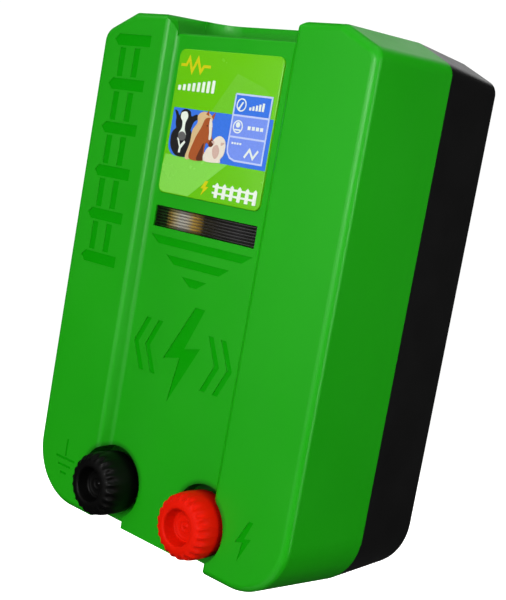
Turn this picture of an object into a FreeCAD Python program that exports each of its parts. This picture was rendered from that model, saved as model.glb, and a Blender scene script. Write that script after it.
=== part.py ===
# Mains fence energizer, hung on a wall: a green front cover screwed to a black rear shell.
# Millimetres.  The origin is the centre of the back, which lies on the wall.
# +X is to the right as seen from the front, +Y runs out of the back into the wall, +Z is up.
import FreeCAD, Part
import math
import os
import Sketcher

SIZES = {
    # case, at the parting plane where it is largest
    "case_width": 159.6,
    "case_height": 235.0,
    "case_depth": 87.4,
    "cover_depth": 49.9,
    "wall": 2.6,
    "shoulder_width": 19.0,
    "shoulder_drop": 8.92,
    "shoulder_round": 3.0,
    "shoulder_side_round": 6.5,
    "foot_radius": 27.0,
    "side_draft": 1.06,
    "top_draft": 2.7,
    "bottom_draft": 2.3,
    "back_side_draft": 0.3,
    "back_top_draft": 1.55,
    "back_bottom_draft": 1.7,
    "front_bevel": 2.1,
    "bevel_round": 2.8,
    "back_bevel": 0.6,
    # recessed channel down the front, and the trough that it runs into at the top
    "channel_width": 75.0,
    "channel_floor_width": 68.8,
    "channel_depth": 4.93,
    "channel_floor": 2.77,
    "trough_width": 69.0,
    "trough_drop": 9.9,
    "trough_depth": 33.0,
    "trough_corner": 12.0,
    "mouth_flare": 4.4,
    "mouth_round": 7.0,
    "mouth_flare_end": 0.6,
    "mouth_round_end": 0.8,
    "rim_round": 3.0,
    "rim_overcut": 0.02,
    "channel_round": 3.0,
    "lip_round": 1.6,
    # joint between the shells
    "tongue_inset": 1.5,
    "tongue_depth": 2.0,
    "gasket_thick": 1.0,
    "case_screw_x": 66.0,
    "case_screw_top": 96.0,
    "case_screw_low": -87.0,
    "boss_radius": 5.0,
    "shell_boss_radius": 6.0,
    "pilot_radius": 1.8,
    "pilot_depth": 19.0,
    "counterbore_radius": 4.0,
    "counterbore_depth": 20.0,
    "clearance_radius": 2.1,
    "screw_radius": 1.75,
    "screw_length": 32.0,
    "screw_head_radius": 3.4,
    "screw_head_thick": 2.6,
    # label and display window in the channel
    "label_width": 60.6,
    "label_height": 63.1,
    "label_base": 37.6,
    "label_thick": 1.0,
    "label_round": 3.0,
    "window_width": 60.8,
    "window_height": 9.3,
    "window_base": 22.4,
    "window_fit": 0.2,
    "window_sink": 0.3,
    "flange_lap": 2.2,
    "flange_thick": 1.2,
    "window_seal": 0.5,
    "led_bar_thick": 3.2,
    "board_thick": 1.6,
    "display_board_width": 78.0,
    "display_board_height": 16.0,
    "display_post_x": 36.2,
    "display_post_radius": 2.4,
    # marks sunk in the cover
    "mark_depth": 0.3,
    "mark_slope": 1.5,
    "mark_tip": -1.67,
    "bar_top": 18.8,
    "bar_pitch": 7.72,
    "bar_tall": 3.65,
    # output terminals
    "stud_spacing": 56.8,
    "stud_level": -96.2,
    "well_radius": 16.7,
    "well_depth": 12.0,
    "well_slot": 18.2,
    "stud_radius": 3.95,
    "stud_collar_radius": 9.5,
    "stud_collar_thick": 1.6,
    "stud_reach": 12.8,
    "stud_tail": 20.0,
    "stud_seal_thick": 0.8,
    "stud_seal_bore": 5.6,
    "bush_hole": 5.3,
    "bush_radius": 5.2,
    "bush_flange_radius": 8.0,
    "bush_flange_thick": 1.5,
    "stud_bore": 4.05,
    "washer_thick": 1.6,
    "nut_across": 13.0,
    "nut_thick": 6.5,
    "lock_nut_thick": 4.0,
    "lug_radius": 7.0,
    "lug_thick": 1.2,
    "lug_reach": 15.6,
    "lug_barrel": 2.6,
    "wire_radius": 1.6,
    # terminal knobs
    "clamp_washer_radius": 11.0,
    "clamp_washer_bore": 4.3,
    "clamp_washer_thick": 1.5,
    "clamp_gap": 0.05,
    "knob_length": 18.3,
    "knob_back_radius": 14.1,
    "knob_waist_radius": 14.4,
    "knob_front_radius": 13.1,
    "knob_lip": 1.4,
    "knob_cup_radius": 7.5,
    "knob_cup_depth": 5.8,
    "flute_radius": 0.9,
    "flute_count": 30,
    "insert_radius": 7.0,
    "insert_length": 10.0,
    "insert_bore": 4.03,
    # boards and what they carry
    "main_board_width": 130.0,
    "main_board_low": -8.0,
    "main_board_top": 88.0,
    "main_board_back": -32.4,
    "board_post_x": 58.0,
    "board_post_low": -1.0,
    "board_post_top": 81.0,
    "board_post_radius": 3.5,
    "board_screw_radius": 1.25,
    "board_pilot_radius": 1.3,
    "board_hole_radius": 1.6,
    "board_screw_head": 2.6,
    "capacitor_radius": 15.0,
    "capacitor_length": 40.0,
    "capacitor_level": 62.0,
    # transformers
    "output_x": -34.0,
    "output_y": -26.0,
    "output_width": 56.0,
    "output_tall": 48.0,
    "output_stack": 24.0,
    "supply_x": 36.0,
    "supply_y": -24.0,
    "supply_width": 48.0,
    "supply_tall": 40.0,
    "supply_stack": 18.0,
    "transformer_level": -44.0,
    "transformer_screw_inset": 4.0,
    # wall keyholes
    "keyhole_spacing": 100.0,
    "keyhole_level": 70.0,
    "keyhole_radius": 4.5,
    "keyhole_slot": 5.0,
    "keyhole_rise": 9.0,
    "keyhole_pocket_width": 12.0,
    "keyhole_pocket_deep": 4.2,
    "keyhole_cover": 1.6,
    # mains lead gland in the bottom
    "gland_y": -18.0,
    "gland_boss_radius": 11.0,
    "gland_boss_low": -118.2,
    "gland_boss_top": -112.5,
    "gland_thread_radius": 6.0,
    "gland_hole_radius": 6.1,
    "gland_across": 17.0,
    "gland_body_thick": 3.8,
    "gland_cap_long": 9.0,
    "gland_nut_thick": 4.0,
    "gland_liner_radius": 4.6,
    "lead_radius": 3.6,
}

HEX_SIDE = 1 / math.sqrt(3)
PLANES = {"XY": ("XY_Plane", 1), "XZ": ("XZ_Plane", -1), "YZ": ("YZ_Plane", 1)}
FACING = {
    "up": FreeCAD.Rotation(),
    "front": FreeCAD.Rotation(FreeCAD.Vector(1, 0, 0), 90),
    "back": FreeCAD.Rotation(FreeCAD.Vector(1, 0, 0), -90),
    "right": FreeCAD.Rotation(FreeCAD.Vector(0, 1, 0), 90),
}

doc = FreeCAD.newDocument("fence_energizer")
sheet = doc.addObject("Spreadsheet::Sheet", "Sizes")
nodes = []


# ---------------------------------------------------------------- sizes and their expressions


class Size:
    """A length, with the sheet expression that gives it."""

    def __init__(self, value, text):
        self.value = value
        self.text = text

    def __add__(self, other):
        return combined(self, "+", other)

    def __radd__(self, other):
        return combined(other, "+", self)

    def __sub__(self, other):
        return combined(self, "-", other)

    def __rsub__(self, other):
        return combined(other, "-", self)

    def __mul__(self, other):
        return combined(self, "*", other)

    def __rmul__(self, other):
        return combined(other, "*", self)

    def __truediv__(self, other):
        return combined(self, "/", other)

    def __neg__(self):
        return combined(0, "-", self)


def as_size(number):
    return number if isinstance(number, Size) else Size(float(number), "%.6f" % number)


def combined(left, sign, right):
    left = as_size(left)
    right = as_size(right)
    results = {
        "+": left.value + right.value,
        "-": left.value - right.value,
        "*": left.value * right.value,
        "/": left.value / right.value if right.value else 0.0,
    }
    return Size(results[sign], "(%s %s %s)" % (left.text, sign, right.text))


def size(name):
    return Size(SIZES[name], "Sizes." + name)


def fill_sheet():
    for row, (name, value) in enumerate(SIZES.items(), start=1):
        sheet.set("A%d" % row, name)
        sheet.set("B%d" % row, str(value))
        sheet.setAlias("B%d" % row, name)
    doc.recompute()


def bind(item, prop, length):
    item.setExpression(prop, as_size(length).text)


# ---------------------------------------------------------------- sketches


def pin(sketch, geo, pos, x, y):
    """Fixes one point of a sketch at x, y."""
    for kind, length in (("DistanceX", x), ("DistanceY", y)):
        length = as_size(length)
        index = sketch.addConstraint(Sketcher.Constraint(kind, -1, 1, geo, pos, length.value))
        bind(sketch, "Constraints[%d]" % index, length)


def set_radius(sketch, geo, radius):
    radius = as_size(radius)
    index = sketch.addConstraint(Sketcher.Constraint("Radius", geo, radius.value))
    bind(sketch, "Constraints[%d]" % index, radius)


def spot(x, y):
    return FreeCAD.Vector(as_size(x).value, as_size(y).value, 0)


def draw_circle(sketch, x, y, radius):
    circle = Part.Circle(spot(x, y), FreeCAD.Vector(0, 0, 1), as_size(radius).value)
    geo = sketch.addGeometry(circle)
    pin(sketch, geo, 3, x, y)
    set_radius(sketch, geo, radius)


def toward(start, end, length):
    """The point a length away from start on the way to end."""
    run = (spot(*end) - spot(*start)).normalize()
    return (start[0] + length * run.x, start[1] + length * run.y)


def rounded_corner(before, here, after, radius):
    """Where an arc of this radius leaves and joins the two runs at a corner, and its centre."""
    back = (spot(*before) - spot(*here)).normalize()
    onward = (spot(*after) - spot(*here)).normalize()
    turn = math.pi - back.getAngle(onward)
    start = toward(here, before, radius * math.tan(turn / 2))
    end = toward(here, after, radius * math.tan(turn / 2))
    away = as_size(radius).value / math.cos(turn / 2)
    return start, end, spot(*here) + (back + onward).normalize() * away, radius


def loop_edges(corners):
    """The lines and arcs of a closed outline, as (start, end, centre, radius)."""
    rounds = []
    for index, corner in enumerate(corners):
        here = corner[:2]
        if len(corner) == 2:
            rounds.append((here, here, None, None))
            continue
        before = corners[index - 1][:2]
        after = corners[(index + 1) % len(corners)][:2]
        rounds.append(rounded_corner(before, here, after, corner[2]))
    edges = []
    for index, (before, after, centre, radius) in enumerate(rounds):
        if centre:
            edges.append((before, after, centre, radius))
        onward = rounds[(index + 1) % len(rounds)][0]
        if (spot(*onward) - spot(*after)).Length > 1e-6:
            edges.append((after, onward, None, None))
    return edges


def draw_loop(sketch, corners):
    """Closed outline; a corner is (x, y), or (x, y, radius) where it is rounded."""
    ends = []
    for start, end, centre, radius in loop_edges(corners):
        first = spot(*start)
        last = spot(*end)
        flipped = False
        if centre:
            begin = math.atan2(first.y - centre.y, first.x - centre.x)
            finish = math.atan2(last.y - centre.y, last.x - centre.x)
            flipped = (finish - begin) % (2 * math.pi) > math.pi
            circle = Part.Circle(centre, FreeCAD.Vector(0, 0, 1), as_size(radius).value)
            span = (finish, begin) if flipped else (begin, finish)
            geo = sketch.addGeometry(Part.ArcOfCircle(circle, *span))
            set_radius(sketch, geo, radius)
        else:
            geo = sketch.addGeometry(Part.LineSegment(first, last))
        ends.append((geo, 2 if flipped else 1, 1 if flipped else 2))
        pin(sketch, geo, ends[-1][1], *start)
    for index, (geo, start, end) in enumerate(ends):
        onward = ends[(index + 1) % len(ends)]
        sketch.addConstraint(Sketcher.Constraint("Coincident", geo, end, onward[0], onward[1]))


def draw(sketch, outline):
    if outline[0] == "circle":
        draw_circle(sketch, *outline[1:])
    else:
        draw_loop(sketch, outline)


def circle(x, y, radius):
    return ("circle", x, y, radius)


def rectangle(x0, x1, y0, y1, radius=None):
    corners = [(x0, y0), (x1, y0), (x1, y1), (x0, y1)]
    return [corner + (radius,) for corner in corners] if radius else corners


def hexagon(across):
    """A hexagon about the origin, given the width across its flats."""
    point = across * HEX_SIDE
    half = across / 2
    return [(point, 0), (point / 2, half), (-point / 2, half),
            (-point, 0), (-point / 2, -half), (point / 2, -half)]


# ---------------------------------------------------------------- bodies and features


def new_body(label):
    body = doc.addObject("PartDesign::Body", label)
    body.Label = label
    return body


def node(item):
    nodes.append(item)
    return item


def origin_feature(body, role):
    return next(item for item in body.Origin.OriginFeatures if item.Role == role)


def new_sketch(body, plane, level, outlines):
    role, normal = PLANES[plane]
    sketch = body.newObject("Sketcher::SketchObject", body.Name + "_sketch")
    sketch.AttachmentSupport = [(origin_feature(body, role), "")]
    sketch.MapMode = "FlatFace"
    bind(sketch, "AttachmentOffset.Base.z", as_size(level) * normal)
    for outline in outlines:
        draw(sketch, outline)
    return sketch


def extrude(body, kind, plane, start, end, *outlines):
    """Pads or pockets outlines on a plane, from one level to another along its axis."""
    start = as_size(start)
    end = as_size(end)
    feature = body.newObject("PartDesign::" + kind, body.Name + "_" + kind.lower())
    sketch = new_sketch(body, plane, start, outlines)
    feature.Profile = sketch
    along = (end.value - start.value) * PLANES[plane][1] > 0
    feature.Reversed = along if kind == "Pocket" else not along
    bind(feature, "Length", end - start if end.value > start.value else start - end)
    body.Tip = feature
    return feature


def pad(body, plane, start, end, *outlines):
    return extrude(body, "Pad", plane, start, end, *outlines)


def pocket(body, plane, start, end, *outlines):
    return extrude(body, "Pocket", plane, start, end, *outlines)


def loft(body, kind, sections):
    """Straight-sided loft through (level, outline) sections across the depth."""
    sketches = [new_sketch(body, "XZ", level, [outline]) for level, outline in sections]
    feature = body.newObject("PartDesign::" + kind + "Loft", body.Name + "_loft")
    feature.Profile = sketches[0]
    feature.Sections = sketches[1:]
    feature.Ruled = True
    body.Tip = feature
    return feature


def revolve(body, *outlines):
    """Turns half outlines, drawn as (radius, height), about the body's own vertical axis."""
    sketch = new_sketch(body, "XZ", 0, outlines)
    feature = body.newObject("PartDesign::Revolution", body.Name + "_turned")
    feature.Profile = sketch
    feature.ReferenceAxis = (sketch, ["V_Axis"])
    feature.Angle = 360
    body.Tip = feature
    return feature


def fillet(body, radius, wanted):
    """Rounds those edges of the body so far that the test picks."""
    doc.recompute()
    base = body.Tip
    names = ["Edge%d" % (i + 1) for i, edge in enumerate(base.Shape.Edges) if wanted(edge)]
    feature = body.newObject("PartDesign::Fillet", body.Name + "_round")
    feature.Base = (base, names)
    bind(feature, "Radius", radius)
    body.Tip = feature
    return feature


def place(item, x, y, z, facing="up"):
    item.Placement = FreeCAD.Placement(FreeCAD.Vector(), FACING[facing])
    for axis, length in (("x", x), ("y", y), ("z", z)):
        bind(item, "Placement.Base." + axis, length)
    return item


def block(label, x, y, z):
    """A box given its (low, high) along each axis."""
    item = doc.addObject("Part::Box", label)
    item.Label = label
    for prop, (low, high) in (("Length", x), ("Width", y), ("Height", z)):
        bind(item, prop, as_size(high) - low)
    return place(item, x[0], y[0], z[0])


def rod(label, radius, length, x, y, z, facing="up"):
    item = doc.addObject("Part::Cylinder", label)
    item.Label = label
    bind(item, "Radius", radius)
    bind(item, "Height", length)
    return place(item, x, y, z, facing)


def union(label, items):
    item = doc.addObject("Part::MultiFuse", label)
    item.Label = label
    item.Shapes = items
    return item


def cut(label, base, tools):
    item = doc.addObject("Part::Cut", label)
    item.Label = label
    item.Base = base
    item.Tool = tools[0] if len(tools) == 1 else union(label + "_tools", tools)
    return item


def group(label, items):
    item = doc.addObject("Part::Compound", label)
    item.Label = label
    item.Links = items
    return item


# ---------------------------------------------------------------- levels shared by the parts


HALF_WIDTH = size("case_width") / 2
HALF_HEIGHT = size("case_height") / 2
PAD_FACE = -size("case_depth")
PARTING = size("cover_depth") - size("case_depth")
CHANNEL_FACE = PAD_FACE + size("channel_depth")
CHANNEL_BACK = CHANNEL_FACE + size("channel_floor")
TROUGH_FLOOR = HALF_HEIGHT - size("trough_drop")
TROUGH_BACK = PAD_FACE + size("trough_depth")
WELL_FLOOR = PAD_FACE + size("well_depth")
WELL_BACK = WELL_FLOOR + size("wall")
STUD_X = size("stud_spacing") / 2
STUD_Z = size("stud_level")
SEAL_FACE = WELL_FLOOR - size("stud_seal_thick")
COLLAR_FACE = SEAL_FACE - size("stud_collar_thick")
CLAMP_FACE = COLLAR_FACE - size("clamp_gap") - size("clamp_washer_thick")
KNOB_BACK = CLAMP_FACE - size("clamp_gap")
BUSH_BACK = WELL_BACK + size("bush_flange_thick")
NUT_FACE = BUSH_BACK + size("washer_thick")
LUG_FACE = NUT_FACE + size("nut_thick")
LOCK_FACE = LUG_FACE + size("lug_thick")
WINDOW_LEVEL = size("window_base") + size("window_height") / 2
FLANGE_FACE = CHANNEL_BACK + size("window_seal")
FLANGE_BACK = FLANGE_FACE + size("flange_thick")
DISPLAY_FACE = FLANGE_BACK + size("led_bar_thick")
BOARD_FACE = size("main_board_back") - size("board_thick")
BOSSES = [(side * size("case_screw_x"), level)
          for side in (-1, 1) for level in (size("case_screw_top"), size("case_screw_low"))]
BOARD_POSTS = [(side * size("board_post_x"), level)
               for side in (-1, 1) for level in (size("board_post_top"), size("board_post_low"))]
DISPLAY_POSTS = [(side * size("display_post_x"), WINDOW_LEVEL) for side in (-1, 1)]
SIDES = (("earth", -1), ("fence", 1))


def case_outline(side=0, top=0, bottom=0, corner=0):
    """The case from the front, drawn in at the sides, top and bottom by these insets."""
    half = HALF_WIDTH - side
    high = HALF_HEIGHT - top
    low = bottom - HALF_HEIGHT
    radius = size("foot_radius") - corner
    wide = half - size("shoulder_width")
    drop = high - size("shoulder_drop")
    soft = size("shoulder_round")
    broad = size("shoulder_side_round") - corner
    return [(wide, high, soft), (-wide, high, soft), (-half, drop, broad), (-half, low, radius),
            (half, low, radius), (half, drop, broad)]


def even_outline(inset):
    return case_outline(inset, inset, inset, inset)


def cover_outline(share, inset=0):
    """The cover's outline at a share of the way from the parting plane to the front."""
    return case_outline(size("side_draft") * share + inset, size("top_draft") * share + inset,
                        size("bottom_draft") * share + inset, inset)


def shell_outline(share, inset=0):
    return case_outline(size("back_side_draft") * share + inset,
                        size("back_top_draft") * share + inset,
                        size("back_bottom_draft") * share + inset, inset)


# ---------------------------------------------------------------- marks sunk in the cover


def funnel_bars():
    """Three bars under the window, each narrower than the last."""
    bars = []
    for index in range(3):
        top = size("bar_top") - index * size("bar_pitch")
        low = top - size("bar_tall")
        wide = (top - size("mark_tip")) * size("mark_slope")
        narrow = (low - size("mark_tip")) * size("mark_slope")
        bars.append([(-wide, top), (-narrow, low), (narrow, low), (wide, top)])
    return bars


def bolt(x, z, wide, tall):
    """A lightning bolt in a box of this width and height about x, z."""
    shape = [(0.18, 0.5), (-0.5, -0.08), (-0.04, -0.03), (-0.2, -0.5), (0.5, 0.12), (0.06, 0.07),
             (0.46, 0.5)]
    return [(x + wide * u, z + tall * v) for u, v in shape]


def chevron(x, z, reach, tall, thick):
    """An arrow head that points away along x, by reach."""
    return [(x, z + tall / 2), (x + reach, z), (x, z - tall / 2), (x + thick, z - tall / 2),
            (x + reach + thick, z), (x + thick, z + tall / 2)]


def pulse_mark():
    """A bolt between two pairs of chevrons, in the middle of the channel."""
    level = -30.0
    marks = [bolt(0, level, 21, 44)]
    for side in (-1, 1):
        marks.append(chevron(side * 14.0, level, side * 6, 24, side * 3))
        marks.append(chevron(side * 21.5, level, side * 6, 24, side * 3))
    return marks


def fence_mark():
    """Pickets and rails of a fence, which runs up the left pad."""
    foot = -46.0
    point = -70.0
    half = 2.6
    pitch = 20.0
    gap = 0.9
    first = 2.0
    count = 6
    marks = []
    for index in range(count):
        z = first + pitch * index
        marks.append([(foot, z - half), (foot, z + half), (point + half, z + half), (point, z),
                      (point + half, z - half)])
        if index == count - 1:
            continue
        for rail in (-63.4, -53.8):
            marks.append(rectangle(rail - 1.9, rail + 1.9, z + half + gap,
                                   z + pitch - half - gap))
    return marks


def earth_mark():
    """The earth sign beside its knob."""
    x = -58.2
    top = -84.6
    line = 0.55
    stem_end = -92.9
    marks = [rectangle(x - line, x + line, stem_end, top)]
    for index, half in enumerate((6.8, 4.4, 2.2)):
        z = -94.0 - 3.5 * index
        marks.append(rectangle(x - half, x + half, z - line, z + line))
    return marks


# ---------------------------------------------------------------- case


def well_slots(half, low):
    """Slots under the terminal wells, down to a level."""
    return [rectangle(side * STUD_X - half, side * STUD_X + half, low, STUD_Z)
            for name, side in SIDES]


def well_circles(radius):
    return [circle(side * STUD_X, STUD_Z, radius) for name, side in SIDES]


def cover_linings(body):
    """Inner walls behind the trough, the terminal wells and their slots, and the bosses."""
    wall = size("wall")
    half = size("trough_width") / 2 + size("mouth_flare") + wall
    pad(body, "XZ", CHANNEL_BACK - 1, TROUGH_BACK + wall,
        rectangle(-half, half, TROUGH_FLOOR - wall, HALF_HEIGHT - size("top_draft") - 1))
    inner = WELL_BACK
    pad(body, "XZ", CHANNEL_BACK - 1, inner, *well_circles(size("well_radius") + wall))
    low = size("bottom_draft") + wall / 2 - HALF_HEIGHT
    pad(body, "XZ", CHANNEL_BACK - 1, inner, *well_slots(size("well_slot") / 2 + wall, low))
    pad(body, "XZ", PAD_FACE + wall / 2, PARTING,
        *[circle(x, z, size("boss_radius")) for x, z in BOSSES])
    pad(body, "XZ", CHANNEL_BACK - 1, DISPLAY_FACE,
        *[circle(x, z, size("display_post_radius")) for x, z in DISPLAY_POSTS])


def mouth_outline(level, flare, radius):
    """The trough across its mouth: its sides lean out by flare and are rounded at this level."""
    half = size("trough_width") / 2
    wide = half + flare
    side = wide + radius
    roof = level + 3
    low = TROUGH_FLOOR + size("rim_overcut")
    return [(-side, roof), (-side, level), (-wide, level, radius), (-half, low), (half, low),
            (wide, level, radius), (side, level), (side, roof)]


def flare_mouth(body):
    """Leans the trough's sides out and rounds their tops, less and less towards its back."""
    span = PARTING - PAD_FACE - size("front_bevel")
    sections = []
    for level, end in ((PAD_FACE - 1, ""), (TROUGH_BACK - size("trough_corner"), "_end")):
        drop = size("top_draft") * ((PARTING - level) / span)
        top = HALF_HEIGHT - drop + size("rim_overcut")
        sections.append((level, mouth_outline(top, size("mouth_flare" + end),
                                              size("mouth_round" + end))))
    loft(body, "Subtractive", sections)


def cover_openings(body):
    """The channel, trough, terminal wells, window and screw holes."""
    mouth = size("channel_width") / 2
    floor = size("channel_floor_width") / 2
    rim = size("rim_round")
    level = PAD_FACE - size("rim_overcut")
    foot = size("channel_round")
    pocket(body, "XY", -HALF_HEIGHT - 1, HALF_HEIGHT + 1,
           [(-mouth - rim, PAD_FACE - 1), (mouth + rim, PAD_FACE - 1), (mouth + rim, level),
            (mouth, level, rim), (floor, CHANNEL_FACE, foot), (-floor, CHANNEL_FACE, foot),
            (-mouth, level, rim), (-mouth - rim, level)])
    half = size("trough_width") / 2
    corner = size("trough_corner")
    pocket(body, "XY", HALF_HEIGHT + 1, TROUGH_FLOOR,
           [(-half, PAD_FACE - 1), (half, PAD_FACE - 1), (half, TROUGH_BACK, corner),
            (-half, TROUGH_BACK, corner)])
    flare_mouth(body)
    lip = size("lip_round")
    edge = CHANNEL_FACE - size("rim_overcut")
    above = TROUGH_FLOOR + size("rim_overcut")
    pocket(body, "YZ", -half, half,
           [(PAD_FACE - 1, above), (edge + lip, above), (edge, above, lip), (edge, above - lip)])
    pocket(body, "XZ", PAD_FACE - 1, WELL_FLOOR, *well_circles(size("well_radius")))
    pocket(body, "XZ", PAD_FACE - 1, WELL_FLOOR,
           *well_slots(size("well_slot") / 2, -HALF_HEIGHT - 1))
    pocket(body, "XZ", WELL_FLOOR - 1, WELL_BACK + 1, *well_circles(size("bush_hole")))
    wide = size("window_width") / 2
    pocket(body, "XZ", CHANNEL_FACE - 1, CHANNEL_BACK + 1,
           rectangle(-wide, wide, size("window_base"), size("window_base") + size("window_height")))
    pocket(body, "XZ", PARTING, PARTING - size("pilot_depth"),
           *[circle(x, z, size("pilot_radius")) for x, z in BOSSES])
    pocket(body, "XZ", DISPLAY_FACE, CHANNEL_BACK,
           *[circle(x, z, size("board_pilot_radius")) for x, z in DISPLAY_POSTS])


def cover_marks(body):
    depth = size("mark_depth")
    pocket(body, "XZ", CHANNEL_FACE - 1, CHANNEL_FACE + depth, *funnel_bars(), *pulse_mark())
    pocket(body, "XZ", PAD_FACE - 1, PAD_FACE + depth, *fence_mark(), *earth_mark(),
           bolt(56.2, -93.5, 8, 18))


def is_front_bevel(edge):
    """The two edges, all round the front, between the sides, the bevel and the front face."""
    box = edge.BoundBox
    levels = (PAD_FACE.value, (PAD_FACE + size("front_bevel")).value)
    return box.YLength < 0.01 and any(abs(box.YMin - level) < 0.01 for level in levels)


def make_front_cover():
    wall = size("wall")
    bevel = size("front_bevel")
    body = new_body("front_cover")
    loft(body, "Additive", [(PARTING, cover_outline(0)), (PAD_FACE + bevel, cover_outline(1)),
                            (PAD_FACE, cover_outline(1, bevel))])
    fillet(body, size("bevel_round"), is_front_bevel)
    loft(body, "Subtractive", [(PARTING, cover_outline(0, wall)),
                               (CHANNEL_BACK, cover_outline(1, wall))])
    pocket(body, "XZ", PARTING, PARTING - size("tongue_depth") - size("gasket_thick"),
           even_outline(size("tongue_inset") - 0.1))
    inner = size("channel_width") / 2 + wall
    outer = HALF_WIDTH - size("side_draft") - 2 * wall
    top = HALF_HEIGHT - size("shoulder_drop") - 2 * wall
    low = STUD_Z + size("well_radius") + 2 * wall
    for side in (-1, 1):
        pocket(body, "XZ", CHANNEL_BACK - 1, PAD_FACE + wall,
               rectangle(side * inner, side * outer, low, top))
    cover_linings(body)
    cover_openings(body)
    cover_marks(body)
    return node(body)


def keyhole_outline(side):
    """The slot that runs up from a keyhole's round part."""
    x = side * size("keyhole_spacing") / 2
    half = size("keyhole_slot") / 2
    low = size("keyhole_level")
    return rectangle(x - half, x + half, low, low + size("keyhole_rise") + half)


def keyholes(body):
    """Two wall keyholes, each with a closed pocket behind it for the screw's head."""
    wall = size("wall")
    back = -wall - size("keyhole_pocket_deep")
    half = size("keyhole_pocket_width") / 2
    low = size("keyhole_level") - half
    top = size("keyhole_level") + size("keyhole_rise") + half
    pockets = []
    shields = []
    for side in (-1, 1):
        x = side * size("keyhole_spacing") / 2
        pockets.append(rectangle(x - half, x + half, low, top))
        shields.append(rectangle(x - half - wall, x + half + wall, low - wall, top + wall))
    pad(body, "XZ", -wall / 2, back - size("keyhole_cover"), *shields)
    pocket(body, "XZ", -wall, back, *pockets)
    pocket(body, "XZ", 1, -wall - 0.5, *[circle(side * size("keyhole_spacing") / 2,
                                                size("keyhole_level"), size("keyhole_radius"))
                                         for side in (-1, 1)])
    pocket(body, "XZ", 1, -wall - 0.5, *[keyhole_outline(side) for side in (-1, 1)])


def transformer_spots(name):
    """Where the four screws of a transformer's core stand."""
    inset = size("transformer_screw_inset")
    across = size(name + "_width") / 2 - inset
    up = size(name + "_tall") / 2 - inset
    return [(size(name + "_x") + sx * across, size("transformer_level") + sz * up)
            for sx in (-1, 1) for sz in (-1, 1)]


def shell_posts(body):
    """Posts for the main board and the two transformers, with their pilot holes."""
    start = -size("wall") / 2
    post = size("board_post_radius")
    pilot = size("board_pilot_radius")
    pad(body, "XZ", start, size("main_board_back"), *[circle(x, z, post) for x, z in BOARD_POSTS])
    pocket(body, "XZ", size("main_board_back"), size("main_board_back") + 10,
           *[circle(x, z, pilot) for x, z in BOARD_POSTS])
    for name in ("output", "supply"):
        seat = size(name + "_y") + size(name + "_stack") / 2
        spots = transformer_spots(name)
        pad(body, "XZ", start, seat, *[circle(x, z, post) for x, z in spots])
        pocket(body, "XZ", seat, seat + 8, *[circle(x, z, pilot) for x, z in spots])


def make_rear_shell():
    wall = size("wall")
    bevel = size("back_bevel")
    body = new_body("rear_shell")
    loft(body, "Additive", [(PARTING, shell_outline(0)), (-bevel, shell_outline(1)),
                            (as_size(0), shell_outline(1, bevel))])
    loft(body, "Subtractive", [(PARTING, shell_outline(0, wall)), (-wall, shell_outline(1, wall))])
    pad(body, "XZ", PARTING + wall, PARTING - size("tongue_depth"),
        even_outline(size("tongue_inset")), even_outline(wall))
    pad(body, "XZ", -wall / 2, PARTING, *[circle(x, z, size("shell_boss_radius"))
                                          for x, z in BOSSES])
    shell_posts(body)
    pad(body, "XY", size("gland_boss_low"), size("gland_boss_top"),
        circle(0, size("gland_y"), size("gland_boss_radius")))
    pocket(body, "XZ", 1, -size("counterbore_depth"),
           *[circle(x, z, size("counterbore_radius")) for x, z in BOSSES])
    pocket(body, "XZ", 1, PARTING - 1, *[circle(x, z, size("clearance_radius"))
                                         for x, z in BOSSES])
    pocket(body, "XY", size("gland_boss_low") - 1, size("gland_boss_top") + 1,
           circle(0, size("gland_y"), size("gland_hole_radius")))
    keyholes(body)
    return node(body)


def make_case_gasket():
    """Square cord in the groove that the two shells close."""
    body = new_body("case_gasket")
    face = PARTING - size("tongue_depth")
    pad(body, "XZ", face, face - size("gasket_thick"),
        even_outline(size("tongue_inset")), even_outline(size("wall")))
    return node(body)


# ---------------------------------------------------------------- fasteners


def screw(label, radius, length, head_radius, head_thick):
    """A pan-head screw: its seat at the body's origin, its head up, its shank down."""
    body = new_body(label)
    radius = as_size(radius)
    edge = as_size(head_thick) * 0.35
    revolve(body, [(0, -length), (radius * 0.5, -length), (radius, radius - length), (radius, 0),
                   (head_radius, 0), (head_radius, head_thick - edge),
                   (head_radius - edge, head_thick), (0, head_thick)])
    slot = radius * 0.3
    reach = head_radius * 0.6
    for outline in (rectangle(-reach, reach, -slot, slot), rectangle(-slot, slot, -reach, reach)):
        pocket(body, "XY", as_size(head_thick), as_size(head_thick) * 0.45, outline)
    return body


def screw_group(label, spots, facing, radius, length, head_radius, head_thick):
    """Separate screws of one kind, each seated at an (x, y, z) spot."""
    screws = []
    for index, at in enumerate(spots):
        item = screw("%s_%d" % (label, index + 1), radius, length, head_radius, head_thick)
        screws.append(place(item, *at, facing=facing))
    return node(group(label, screws))


def make_case_screws():
    seat = -size("counterbore_depth")
    return screw_group("case_screws", [(x, seat, z) for x, z in BOSSES], "back",
                       size("screw_radius"), size("screw_length"), size("screw_head_radius"),
                       size("screw_head_thick"))


def make_board_screws():
    return screw_group("board_screws", [(x, BOARD_FACE, z) for x, z in BOARD_POSTS], "front",
                       size("board_screw_radius"), as_size(10), size("board_screw_head"),
                       as_size(2))


def make_display_screws():
    face = DISPLAY_FACE + size("board_thick")
    return screw_group("display_screws", [(x, face, z) for x, z in DISPLAY_POSTS], "back",
                       size("board_screw_radius"), as_size(6), size("board_screw_head"),
                       as_size(2))


def make_transformer_screws():
    spots = []
    for name in ("output", "supply"):
        face = size(name + "_y") - size(name + "_stack") / 2
        screws = [(x, face, z) for x, z in transformer_spots(name)]
        spots.append(screw_group(name + "_screws", screws, "front", size("board_screw_radius"),
                                 size(name + "_stack") + 7, size("board_screw_head"), as_size(2)))
    return spots


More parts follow.
